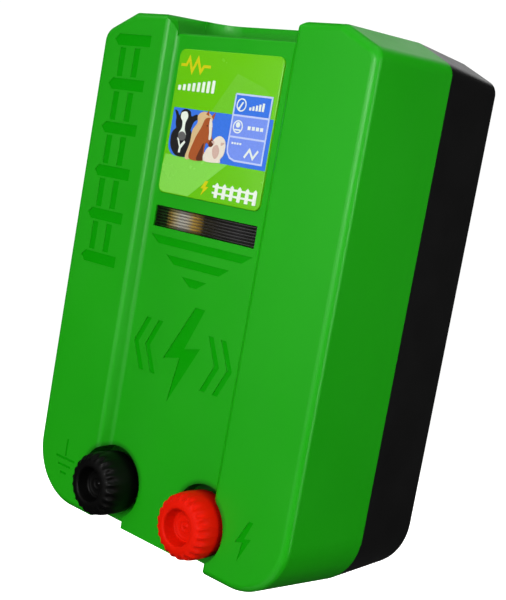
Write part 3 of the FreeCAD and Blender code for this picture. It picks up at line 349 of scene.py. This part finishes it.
def case_green():
    """The cover's satin green.

    The floors of its sunk marks are polished and painted darker as shade, so that they look deeper,
    the trough is dull and painted darker as shade,
    and painted shade darkens the upper half of each terminal's well.
    """
    finish = Finish("case_green", specular=0.34)
    here = finish.axes(finish.place)
    facing = finish.axes(finish.add("TexCoord").outputs["Normal"])
    sideways = finish.math("ABSOLUTE", here["X"])

    on_pad = finish.math("COMPARE", here["Y"], PAD_MARK_FLOOR, MARK_SLACK)
    on_channel = finish.math("COMPARE", here["Y"], CHANNEL_MARK_FLOOR, MARK_SLACK)
    flat = finish.math("LESS_THAN", facing["Y"], -0.985)
    sunk = finish.product(finish.math("ADD", on_pad, on_channel), flat)

    trough = finish.product(finish.math("GREATER_THAN", here["Y"], TROUGH_FRONT),
                            finish.math("GREATER_THAN", here["Z"], TROUGH_FLOOR),
                            finish.math("LESS_THAN", sideways, TROUGH_REACH),
                            finish.span(here["Z"], 1.0, 0.0, *TROUGH_FADE))

    beside = finish.math("SUBTRACT", sideways, STUD_X * MM)
    above = finish.math("SUBTRACT", here["Z"], STUD_Z * MM)
    squares = finish.math("ADD", finish.product(beside, beside), finish.product(above, above))
    # Painted shade: the upper half of each terminal's well, around and above the knob, is painted near black.
    well_shade = finish.product(finish.span(finish.math("SQRT", squares), 0.88, 0.0, *WELL_SHADE_RADII),
                           finish.span(above, 0.0, 1.0, *WELL_SHADE_LEVELS))

    clouds = finish.noise(11, 3, 0.55)
    paint = finish.ramp(clouds, [(0.35, (0.0048, 0.286, 0.0004)), (0.65, (0.0066, 0.306, 0.0010))])
    # Painted shade: the floors of the sunk marks are painted darker, so that they look deeper.
    paint = finish.blend(sunk, paint, (0.0018, 0.262, 0.0003))
    # Painted shade: the trough's colour is painted darker, as the shade inside the recess.
    paint = finish.blend(trough, paint, (0.0050, 0.215, 0.0010))
    finish.feed("Base Color", finish.blend(well_shade, paint, (0.0006, 0.014, 0.0003)))
    rubbed = finish.span(finish.noise(38, 4, 0.6), 0.38, 0.45)
    polished = finish.span(finish.noise(120, 2), 0.16, 0.24)
    finish.feed("Roughness", finish.mixed(trough, finish.mixed(sunk, rubbed, polished), 0.85))
    finish.bump(finish.product(finish.noise(1500, 2, 0.6), finish.math("SUBTRACT", 1.0, sunk)), 0.010)
    return finish


# The lens's half length (x), its middle (z), where its painted glow fades into the dark rim, and the ribs'
# pitch.
LENS_REACH = 0.0304
LENS_MIDDLE = 0.02705
LENS_RIM = (0.0026, 0.0042)
RIB_PITCH = 0.00133


def smoked_lens():
    """Dark ribbed lens with a painted gold and white glow on its left part, for a lit reflector behind it."""
    finish = Finish("lens_smoked")
    here = finish.axes(finish.place)
    along = finish.span(here["X"], 0.0, 1.0, -LENS_REACH, LENS_REACH)
    wave = finish.noise(260, 2, 0.5, (1, 1, 6))
    bent = finish.math("ADD", along, finish.math("MULTIPLY_ADD", wave, 0.05, -0.025))
    glow = finish.ramp(bent, [
        (0.00, (0.006, 0.006, 0.004)), (0.115, (0.010, 0.010, 0.006)), (0.165, (0.26, 0.15, 0.035)),
        (0.215, (0.40, 0.33, 0.20)), (0.27, (0.42, 0.40, 0.36)), (0.34, (0.38, 0.34, 0.26)),
        (0.39, (0.36, 0.23, 0.05)), (0.45, (0.22, 0.13, 0.02)), (0.50, (0.022, 0.018, 0.008)),
        (0.64, (0.016, 0.015, 0.012)), (0.82, (0.024, 0.023, 0.024)), (1.00, (0.006, 0.006, 0.006))])
    # Painted light and shade: the painted glow dims between the ribs and towards the lens's rim.
    ribs = finish.math("SINE", finish.math("MULTIPLY_ADD", here["Z"], 2 * math.pi / RIB_PITCH, 0.6))
    upright = finish.math("ABSOLUTE", finish.math("SUBTRACT", here["Z"], LENS_MIDDLE))
    shade = finish.product(finish.span(ribs, 0.30, 1.15, -0.9, 0.7),
                           finish.span(upright, 1.0, 0.12, *LENS_RIM))
    finish.feed("Base Color", finish.blend(shade, (0.004, 0.004, 0.003), glow))
    finish.feed("Roughness", finish.span(finish.noise(300, 3), 0.16, 0.28))
    return finish


def copper():
    """Enamelled wire in close turns."""
    finish = Finish("copper_turns", metallic=0.85)
    turns = finish.waves(420, "X", 0.6)
    finish.feed("Base Color", finish.ramp(turns, [(0.1, (0.16, 0.045, 0.014)), (0.7, (0.62, 0.22, 0.08))]))
    finish.feed("Roughness", finish.span(finish.noise(300), 0.22, 0.4))
    finish.bump(turns, 0.12)
    return finish


def circuit():
    """Green solder mask with faint tracks and pads."""
    finish = Finish("board_mask")
    tracks = finish.seams(210, (1, 0.02, 1))
    paint = finish.ramp(tracks, [(0.03, (0.02, 0.16, 0.05)), (0.09, (0.008, 0.075, 0.026))])
    finish.feed("Base Color", paint)
    finish.feed("Roughness", finish.span(finish.noise(200), 0.25, 0.42))
    finish.bump(tracks, 0.03)
    return finish


def laminated():
    """A transformer's stacked steel sheets with a lacquer between them."""
    finish = Finish("core_sheets", metallic=0.7)
    sheets = finish.waves(320, "Y")
    finish.feed("Base Color", finish.ramp(sheets, [(0.2, (0.05, 0.05, 0.055)), (0.8, (0.20, 0.20, 0.21))]))
    finish.feed("Roughness", finish.span(finish.noise(240, 3), 0.35, 0.6))
    finish.bump(sheets, 0.08)
    return finish


# Behind this y the knobs are painted darker, as the shade in their wells.
KNOB_SHADE = -0.0890  # y, in metres
FINISHES = {
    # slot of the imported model: its finish
    "green_case": case_green(),
    "black_case": moulded("case_black", (0.0036, 0.0036, 0.0036), 0.36, 1300, 0.025, 0.2, 0.42),
    "seal_rubber": moulded("rubber_black", (0.012, 0.012, 0.012), 0.62, 900, 0.03, 0.2),
    "label_face": printed("label_lime", (0.112, 0.455, 0.002)),
    "smoked_window": smoked_lens(),
    "light_segments": moulded("lamp_diffuser", (0.75, 0.72, 0.62), 0.35, 700, 0.02, 0.05),
    "circuit_board": circuit(),
    "ribbon_grey": moulded("ribbon_grey", (0.34, 0.35, 0.36), 0.45, 900, 0.03, 0.12),
    "bright_screws": metal("screw_zinc", (0.72, 0.72, 0.70), 0.26),
    "brass_fittings": metal("turned_brass", (0.74, 0.50, 0.20), 0.28, 0.012),
    "plated_washer": metal("washer_nickel", (0.66, 0.66, 0.63), 0.24),
    "black_knob": moulded("knob_black", (0.0010, 0.0010, 0.0009), 0.46, 1600, 0.010, 0.2, 0.16, KNOB_SHADE),
    "red_knob": moulded("knob_red", (0.57, 0.0055, 0.0002), 0.50, 1600, 0.010, 0.06, 0.06, KNOB_SHADE),
    "black_wire": moulded("wire_black", (0.012, 0.012, 0.013), 0.38, 1200, 0.02, 0.2),
    "red_wire": moulded("wire_red", (0.45, 0.012, 0.010), 0.36, 1200, 0.02, 0.1),
    "gland_black": moulded("gland_black", (0.012, 0.012, 0.012), 0.44, 1100, 0.02, 0.2),
    "bush_nylon": moulded("nylon_natural", (0.66, 0.64, 0.56), 0.42, 1000, 0.015, 0.06),
    "capacitor_can": moulded("can_sleeve", (0.02, 0.03, 0.09), 0.25, 900, 0.008, 0.12),
    "sink_aluminium": metal("sink_aluminium", (0.56, 0.57, 0.58), 0.34, 0.02, (6, 1, 1)),
    "chip_black": moulded("chip_epoxy", (0.018, 0.018, 0.019), 0.55, 2000, 0.02, 0.15),
    "varistor_blue": moulded("varistor_blue", (0.02, 0.10, 0.42), 0.3, 700, 0.03, 0.1),
    "resistor_body": moulded("resistor_tan", (0.52, 0.38, 0.20), 0.4, 900, 0.02, 0.1),
    "choke_green": moulded("choke_green", (0.05, 0.20, 0.12), 0.42, 700, 0.04, 0.12),
    "fuse_glass": moulded("fuse_glass", (0.55, 0.60, 0.60), 0.08, 300, 0.004, 0.05),
    "core_steel": laminated(),
    "bobbin_white": moulded("bobbin_cream", (0.62, 0.60, 0.52), 0.45, 900, 0.02, 0.08),
    "copper_winding": copper(),
}

for node in NODES.values():
    for holder in node.material_slots:
        holder.material = FINISHES[holder.material.name].material


# ---------------------------------------------------------------- mesh helpers


def piece(name, shape, finish, body, replaced, smooth):
    """Turns a bmesh in millimetres into a piece that rides on a body.

    Edges that turn by more than smooth degrees stay sharp.
    """
    bmesh.ops.recalc_face_normals(shape, faces=shape.faces)
    mesh = bpy.data.meshes.new(name)
    shape.to_mesh(mesh)
    shape.free()
    mesh.transform(Matrix.Scale(MM, 4))
    mesh.materials.append(finish.material)
    made = bpy.data.objects.new(name, mesh)
    bpy.context.scene.collection.objects.link(made)
    mesh.shade_smooth()
    mesh.set_sharp_from_angle(angle=math.radians(smooth))
    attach(made, body)
    if replaced:
        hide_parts(*replaced)


def skin(shape, rings):
    """Joins closed rings of the same length, each a list of vertices, which may meet in one point."""
    for one, two in zip(rings, rings[1:]):
        for index in range(len(one)):
            after = (index + 1) % len(one)
            corners = dict.fromkeys((one[index], one[after], two[after], two[index]))
            shape.faces.new(tuple(corners))


def close_ends(shape, rings):
    shape.faces.new(rings[0])
    shape.faces.new(rings[-1])


def slab(shape, outline, back, front, soft=0.0, steps=5):
    """A plate whose face looks along -y. outline runs round in (x, z), and soft rounds its front edge."""
    centre = Vector((sum(x for x, z in outline), sum(z for x, z in outline))) / len(outline)
    levels = [(back, 0.0)]
    if soft:
        for step in range(steps + 1):
            turn = math.pi / 2 * step / steps
            levels.append((front + soft * (1 - math.sin(turn)), soft * (1 - math.cos(turn))))
    else:
        levels.append((front, 0.0))
    size = max((Vector(point) - centre).length for point in outline)
    rings = []
    for y, inset in levels:
        pull = 1 - inset / size
        ring = []
        for x, z in outline:
            point = centre + (Vector((x, z)) - centre) * pull
            ring.append(shape.verts.new((point.x, y, point.y)))
        rings.append(ring)
    skin(shape, rings)
    close_ends(shape, rings)


def rounded_box(wide, tall, corners, steps=8):
    """Outline from (0, 0) to (wide, tall). corners are the radii from the lower left, anticlockwise."""
    centres = ((0, 0, 180), (wide, 0, 270), (wide, tall, 0), (0, tall, 90))
    points = []
    for (x, z, start), radius in zip(centres, corners):
        middle = (x + (radius if x == 0 else -radius), z + (radius if z == 0 else -radius))
        if radius == 0:
            points.append((x, z))
            continue
        for step in range(steps + 1):
            turn = math.radians(start + 90 * step / steps)
            points.append((middle[0] + radius * math.cos(turn), middle[1] + radius * math.sin(turn)))
    return points


def flowing(points, steps=6):
    """A smooth closed line through the points."""
    made = []
    count = len(points)
    for index in range(count):
        before, one, two, after = (Vector(points[(index + shift) % count]) for shift in (-1, 0, 1, 2))
        for step in range(steps):
            t = step / steps
            place = 0.5 * (2 * one + (two - before) * t + (2 * before - 5 * one + 4 * two - after) * t * t
                           + (3 * one - before - 3 * two + after) * t ** 3)
            made.append((place.x, place.y))
    return made


def circle(x, z, radius, count):
    """Points round a circle, the last one on the first."""
    turns = [2 * math.pi * k / count for k in range(count + 1)]
    return [(x + radius * math.cos(turn), z + radius * math.sin(turn)) for turn in turns]


def disc(x, z, radius, count):
    return circle(x, z, radius, count)[:-1]


def stroke(points, width):
    """The outline of a line of even width with mitred corners."""
    line = [Vector(point) for point in points]
    left, right = [], []
    for index, point in enumerate(line):
        ahead = (line[min(index + 1, len(line) - 1)] - point)
        behind = (point - line[max(index - 1, 0)])
        ahead = (ahead if ahead.length else behind).normalized()
        behind = (behind if behind.length else ahead).normalized()
        across = Vector((-(ahead + behind).y, (ahead + behind).x)).normalized()
        reach = width / 2 / max(0.35, across.dot(Vector((-ahead.y, ahead.x))))
        left.append(tuple(point + across * reach))
        right.append(tuple(point - across * reach))
    return left + right[::-1]


# ---------------------------------------------------------------- terminal knobs

KNOB_BACK = -79.4
TEETH = 22
STEPS_PER_TOOTH = 12
TOOTH_SHARPNESS = 1.4
KNOB_SHARP_EDGE = 55
KNOB_SIDE = [  # radius, distance from the back, depth of the grooves between the teeth
    (0.0, 10.02, 0), (3.5, 10.02, 0), (7.02, 10.02, 0), (7.02, 5.0, 0), (7.02, 0.0, 0), (9.6, 0.0, 0),
    (12.6, 0.0, 0), (13.4, 0.12, 0), (13.85, 0.5, 0), (14.05, 1.1, 0), (14.14, 2.2, 0), (14.22, 3.6, 0),
    (14.28, 5.0, 0), (14.32, 6.4, 0), (14.34, 7.8, 0.02), (14.34, 9.2, 0.04), (14.32, 10.5, 0.07),
    (14.27, 11.6, 0.12), (14.2, 12.6, 0.2), (14.1, 13.5, 0.32), (13.98, 14.3, 0.5), (13.84, 14.95, 0.72),
    (13.68, 15.5, 0.94), (13.46, 16.0, 1.1), (13.18, 16.45, 1.12), (12.82, 16.86, 0.98), (12.38, 17.22, 0.72),
    (11.86, 17.54, 0.44), (11.2, 17.82, 0.2), (10.5, 18.04, 0.07), (9.8, 18.18, 0.02), (9.1, 18.26, 0),
    (8.5, 18.24, 0), (8.1, 18.12, 0), (7.84, 17.86, 0), (7.7, 17.5, 0), (7.44, 16.4, 0), (7.12, 15.0, 0),
    (6.84, 13.9, 0), (6.66, 13.2, 0), (6.44, 12.88, 0), (6.1, 12.74, 0), (5.75, 12.74, 0), (5.55, 12.9, 0),
    (5.35, 12.9, 0), (5.15, 12.72, 0), (4.2, 12.66, 0), (3.2, 12.62, 0), (2.9, 12.64, 0), (2.72, 12.8, 0),
    (2.5, 12.8, 0), (2.32, 12.62, 0), (1.7, 12.5, 0), (1.2, 12.46, 0), (0.95, 12.56, 0), (0.8, 12.8, 0),
    (0.5, 13.0, 0), (0.0, 13.06, 0)]


def knob(name, side, finish, body):
    """A barrel whose front rim has rounded teeth that fade towards its back, and a ringed cup in its face."""
    shape = bmesh.new()
    count = TEETH * STEPS_PER_TOOTH
    rings = []
    for radius, along, groove in KNOB_SIDE:
        level = KNOB_BACK - along
        if radius == 0:
            rings.append([shape.verts.new((side * STUD_X, level, STUD_Z))] * count)
            continue
        ring = []
        for index in range(count):
            turn = 2 * math.pi * index / count
            tooth = (0.5 + 0.5 * math.cos(turn * TEETH)) ** TOOTH_SHARPNESS
            here = radius - groove * (1 - tooth)
            ring.append(shape.verts.new((side * STUD_X + here * math.cos(turn), level,
                                         STUD_Z + here * math.sin(turn))))
        rings.append(ring)
    skin(shape, rings)
    piece(name + "_detailed", shape, finish, body, (name,), KNOB_SHARP_EDGE)


for name, side, colour in (("earth", -1, "black_knob"), ("fence", 1, "red_knob")):
    knob(name + "_knob", side, FINISHES[colour], name + "_turn")


# ---------------------------------------------------------------- label

LABEL_LEFT = -30.3
LABEL_FOOT = 37.6
LABEL_BACK = -82.47
LABEL_FACE = -83.47
LABEL_WIDE = 60.6
LABEL_TALL = 63.1
LABEL_CORNER = 3.2
LABEL_SOFT = 0.4
LABEL_SHARP_EDGE = 30
INK_ROOT = 0.03  # how deep a printed shape reaches into the resin
LAYER = 0.06  # how far a layer of ink stands above the one below
SHEET = 0.002  # how far a shape stands above the one before it in its layer
HAIRLINE = 0.004


def on_label(outline):
    return [(LABEL_LEFT + u, LABEL_FOOT + v) for u, v in outline]


plate = bmesh.new()
slab(plate, on_label(rounded_box(LABEL_WIDE, LABEL_TALL, [LABEL_CORNER] * 4)),
     LABEL_BACK, LABEL_FACE, LABEL_SOFT)
piece("label_resin", plate, FINISHES["label_face"], "case", ("label_plate",), LABEL_SHARP_EDGE)


def art(name, layer, finish, *outlines):
    """Flat printed shapes, each in millimetres from the label's lower left corner.

    A higher layer covers a lower one, and within a layer a later shape covers an earlier one.
    """
    shape = bmesh.new()
    for index, outline in enumerate(outlines):
        slab(shape, on_label(outline), LABEL_FACE + INK_ROOT, LABEL_FACE - layer * LAYER - index * SHEET)
    piece("label_" + name, shape, finish, "case", (), LABEL_SHARP_EDGE)


def box(u, v, wide, tall):
    return [(u, v), (u + wide, v), (u + wide, v + tall), (u, v + tall)]


def moved(outline, u, v):
    return [(x + u, z + v) for x, z in outline]


def ring_of(u, v, radius, width):
    """Outline of a ring with a hairline cut, so that one loop bounds it."""
    outer = circle(u, v, radius, 36)
    inner = circle(u, v, radius - width, 36)[::-1]
    outer[-1] = (outer[-1][0], outer[-1][1] - HAIRLINE)
    inner[0] = (inner[0][0], inner[0][1] - HAIRLINE)
    return outer + inner


INK = {
    "pale": printed("ink_pale_green", (0.185, 0.560, 0.062)),
    "faint": printed("ink_faint_green", (0.130, 0.465, 0.018)),
    "yellow": printed("ink_yellow", (0.52, 0.50, 0.004)),
    "white": printed("ink_white", (0.66, 0.72, 0.64)),
    "sky": printed("ink_sky", (0.034, 0.145, 0.62)),
    "cell": printed("ink_cell", (0.150, 0.240, 0.70)),
    "line": printed("ink_line", (0.42, 0.50, 0.74)),
    "black": printed("ink_black", (0.012, 0.012, 0.013)),
    "cream": printed("ink_cream", (0.66, 0.60, 0.50)),
    "sand": printed("ink_sand", (0.56, 0.40, 0.20)),
    "chestnut": printed("ink_chestnut", (0.32, 0.075, 0.018)),
    "brown": printed("ink_brown", (0.10, 0.025, 0.010)),
    "grey": printed("ink_grey", (0.10, 0.10, 0.10)),
    "rose": printed("ink_rose", (0.52, 0.36, 0.30)),
}

art("sweep_low", 1, INK["pale"],
    [(0.45, 3.5), (1.2, 1.3), (3.5, 0.45), (19, 0.45), (28.5, 8.2), (39.5, 17), (1.2, 17), (0.45, 12)])
art("sweep_high", 1, INK["faint"],
    [(24.5, 37.4), (38.5, 37.4), (38.5, 46.3), (57.5, 46.3), (52.5, 49.8), (36.3, 54.6), (31.8, 48.2)])
art("picture", 2, INK["sky"],
    moved(rounded_box(LABEL_WIDE - 2.4, 20.9, (5.4, 0, 0, 0)), 2.0, 16.7),
    box(37.4, 37.4, 20.8, 9.2))
art("cells", 3, INK["cell"],
    moved(rounded_box(19.6, 18.4, (4.6, 0, 0, 0)), 37.9, 18.9))
art("lines", 4, INK["line"],
    stroke([(37.6, 46.3), (57.8, 46.3), (57.8, 18.8), (42.6, 18.8), (39.8, 19.7), (38.1, 21.7),
            (37.6, 24), (37.6, 46.3)], 0.75),
    box(37.6, 37.2, 20.2, 0.75), box(37.6, 28.2, 20.2, 0.75))
art("dials", 5, INK["white"],
    ring_of(41.5, 42.0, 2.75, 0.5), stroke([(40.6, 40.6), (42.3, 43.2)], 0.7), disc(40.5, 40.5, 0.55, 16),
    ring_of(41.5, 32.9, 2.75, 0.5), disc(41.5, 33.7, 1.15, 20), box(39.9, 31.3, 3.2, 0.6),
    *[box(46.2 + 1.75 * k, 40.2, 1.05, 1.2 + 0.55 * k) for k in range(5)],
    *[box(47.2 + 2.3 * k, 32.2, 1.5, 1.5) for k in range(4)],
    stroke([(47.8, 20.8), (50.2, 24.2), (52.6, 20.8), (55.0, 24.2)], 0.9),
    *[box(39.6 + 1.5 * k, 25.6, 0.9, 0.8) for k in range(4)])
art("pulse_line", 2, INK["yellow"],
    stroke([(2.0, 56.2), (5.2, 56.2), (6.6, 59.2), (9.2, 53.6), (11.8, 59.2), (14.4, 53.6), (16.0, 56.2),
            (20.0, 56.2)], 1.25),
    flowing([(28.2, 8.4), (26.0, 5.0), (27.6, 5.0), (26.6, 1.9), (30.4, 6.0), (28.6, 6.0), (30.0, 8.4)], 1))
art("level_bars", 2, INK["white"],
    *[moved(rounded_box(1.7, 2.2 + 0.47 * k, [0.4] * 4, 3), 2.3 + 2.9 * k, 45.2) for k in range(8)],
    box(33.0, 6.3, 25.2, 0.9), box(33.0, 3.6, 25.2, 0.9),
    *[moved([(0, 0), (1.9, 0), (1.9, 5.5), (0.95, 6.4), (0, 5.5)], 34.4 + 4.4 * k, 2.1) for k in range(6)])

art("cow_dark", 3, INK["black"],
    flowing([(3.0, 26), (3.6, 20.6), (7.5, 17.1), (13, 16.8), (15.6, 18), (15.4, 27), (12, 29.5), (6, 29)]),
    flowing([(4.6, 30.4), (4.2, 33.8), (2.9, 36.4), (4.7, 36), (6.2, 34.4), (7.2, 36.5), (9.6, 37.45),
             (12.4, 36.6), (13.6, 34.6), (16.6, 35.6), (18.2, 34.0), (15.6, 32.2), (14.4, 29),
             (12.8, 26.4), (9.4, 24.6), (6.6, 26.6)]))
art("cow_face", 4, INK["white"],
    flowing([(7.6, 35.7), (10.4, 36.2), (11.6, 34.2), (10.6, 31.4), (10.8, 28.4), (12.0, 26.0),
             (9.8, 24.4), (7.4, 26.2), (8.8, 29.0), (8.6, 31.8), (7.2, 33.6)]),
    [(7.0, 24.8), (8.2, 24.4), (9.4, 21.6), (11.6, 23.8), (12.4, 23.2), (10.2, 20.2), (10.0, 18.4),
     (8.9, 18.4), (9.0, 20.8)])
art("cow_muzzle", 5, INK["grey"],
    flowing([(7.6, 26.6), (9.6, 27.6), (11.8, 26.5), (11.9, 24.6), (9.8, 23.6), (7.8, 24.5)]))
art("horse_mane", 4, INK["sand"],
    flowing([(13.6, 16.8), (15.2, 23.4), (15.6, 28.8), (17.8, 32.2), (17.4, 35.2), (20.4, 37.2),
             (24.8, 36.4), (26.4, 33.6), (22, 30), (18, 24), (16.6, 16.8)]))
art("horse_neck", 5, INK["chestnut"],
    flowing([(16.0, 16.8), (17.6, 24.6), (20.6, 30.6), (22.2, 34.2), (25.2, 34.8), (27.0, 31.2),
             (27.6, 27.2), (29.0, 24.8), (27.4, 23.0), (25.0, 24.4), (24.4, 21.0), (24.8, 16.8)]),
    [(22.2, 36.2), (23.4, 38.2), (24.2, 35.6)], [(25.6, 35.6), (27.6, 37.6), (27.0, 34.4)])
art("horse_shade", 6, INK["brown"],
    flowing([(20.6, 16.8), (22.4, 22.0), (23.6, 24.0), (24.0, 20.4), (24.4, 16.8)]),
    flowing([(27.0, 25.2), (28.6, 25.8), (29.5, 24.4), (28.4, 22.9), (26.6, 23.2)]),
    disc(24.0, 31.5, 0.4, 12))
art("horse_blaze", 6, INK["cream"],
    flowing([(25.2, 34.6), (26.6, 33.0), (27.2, 29.6), (27.4, 26.4), (26.2, 25.8), (25.7, 29.0),
             (25.0, 32.0)]))
art("sheep_fleece", 6, INK["cream"],
    flowing([(24.9, 16.8), (25.6, 21.4), (28.0, 23.6), (29.4, 26.4), (32.2, 28.0), (35.0, 27.0),
             (36.4, 24.6), (36.2, 20.6), (34.6, 18.4), (34.2, 16.8)]))
art("sheep_face", 7, INK["rose"],
    flowing([(29.4, 22.6), (31.6, 24.2), (33.4, 22.0), (33.0, 19.4), (31.4, 18.2), (29.8, 19.8)]),
    flowing([(28.0, 25.2), (29.6, 25.6), (29.8, 24.2)], 3),
    flowing([(33.8, 25.4), (35.8, 25.2), (34.0, 24.0)], 3))


# ---------------------------------------------------------------- display window

WINDOW_FLANGE = (-79.18, -78.02)
WINDOW_FLANGE_SIZE = (65.0, 13.5)
WINDOW_FLANGE_CORNER = 1.2
WINDOW_FLANGE_FOOT = 20.3
WINDOW_FACE = -81.7
WINDOW_FOOT = 22.47
WINDOW_HEAD = 31.63
WINDOW_HALF = 30.33
WINDOW_ROOT = 0.2  # how deep the lens reaches into its flange
WINDOW_EASE = (0.23, 0.25)  # the bevel at each end, along x and along y
WINDOW_SHARP_EDGE = 50
RIB_COUNT = 7
RIB_STEPS = 8
RIB_RISE = 0.42
RIB_FULLNESS = 0.8


def window():
    """A flanged lens whose face has convex ribs along its length."""
    shape = bmesh.new()
    flange = rounded_box(*WINDOW_FLANGE_SIZE, [WINDOW_FLANGE_CORNER] * 4, 5)
    placed = moved(flange, -WINDOW_FLANGE_SIZE[0] / 2, WINDOW_FLANGE_FOOT)
    slab(shape, placed, WINDOW_FLANGE[1], WINDOW_FLANGE[0])
    root = WINDOW_FLANGE[0] + WINDOW_ROOT
    profile = [(root, WINDOW_FOOT), (root, WINDOW_HEAD)]
    for index in range(RIB_COUNT * RIB_STEPS + 1):
        across = index % RIB_STEPS / RIB_STEPS
        rise = RIB_RISE * math.sin(math.pi * across) ** RIB_FULLNESS
        share = index / (RIB_COUNT * RIB_STEPS)
        profile.append((WINDOW_FACE - rise, WINDOW_HEAD + (WINDOW_FOOT - WINDOW_HEAD) * share))
    ends = []
    inner = WINDOW_HALF - WINDOW_EASE[0]
    for x, ease in ((-WINDOW_HALF, WINDOW_EASE[1]), (-inner, 0), (inner, 0), (WINDOW_HALF, WINDOW_EASE[1])):
        ends.append([shape.verts.new((x, y + (ease if y <= WINDOW_FACE else 0), z)) for y, z in profile])
    skin(shape, ends)
    close_ends(shape, ends)
    piece("window_ribbed", shape, FINISHES["smoked_window"], "case", ("display_window",),
          WINDOW_SHARP_EDGE)


window()
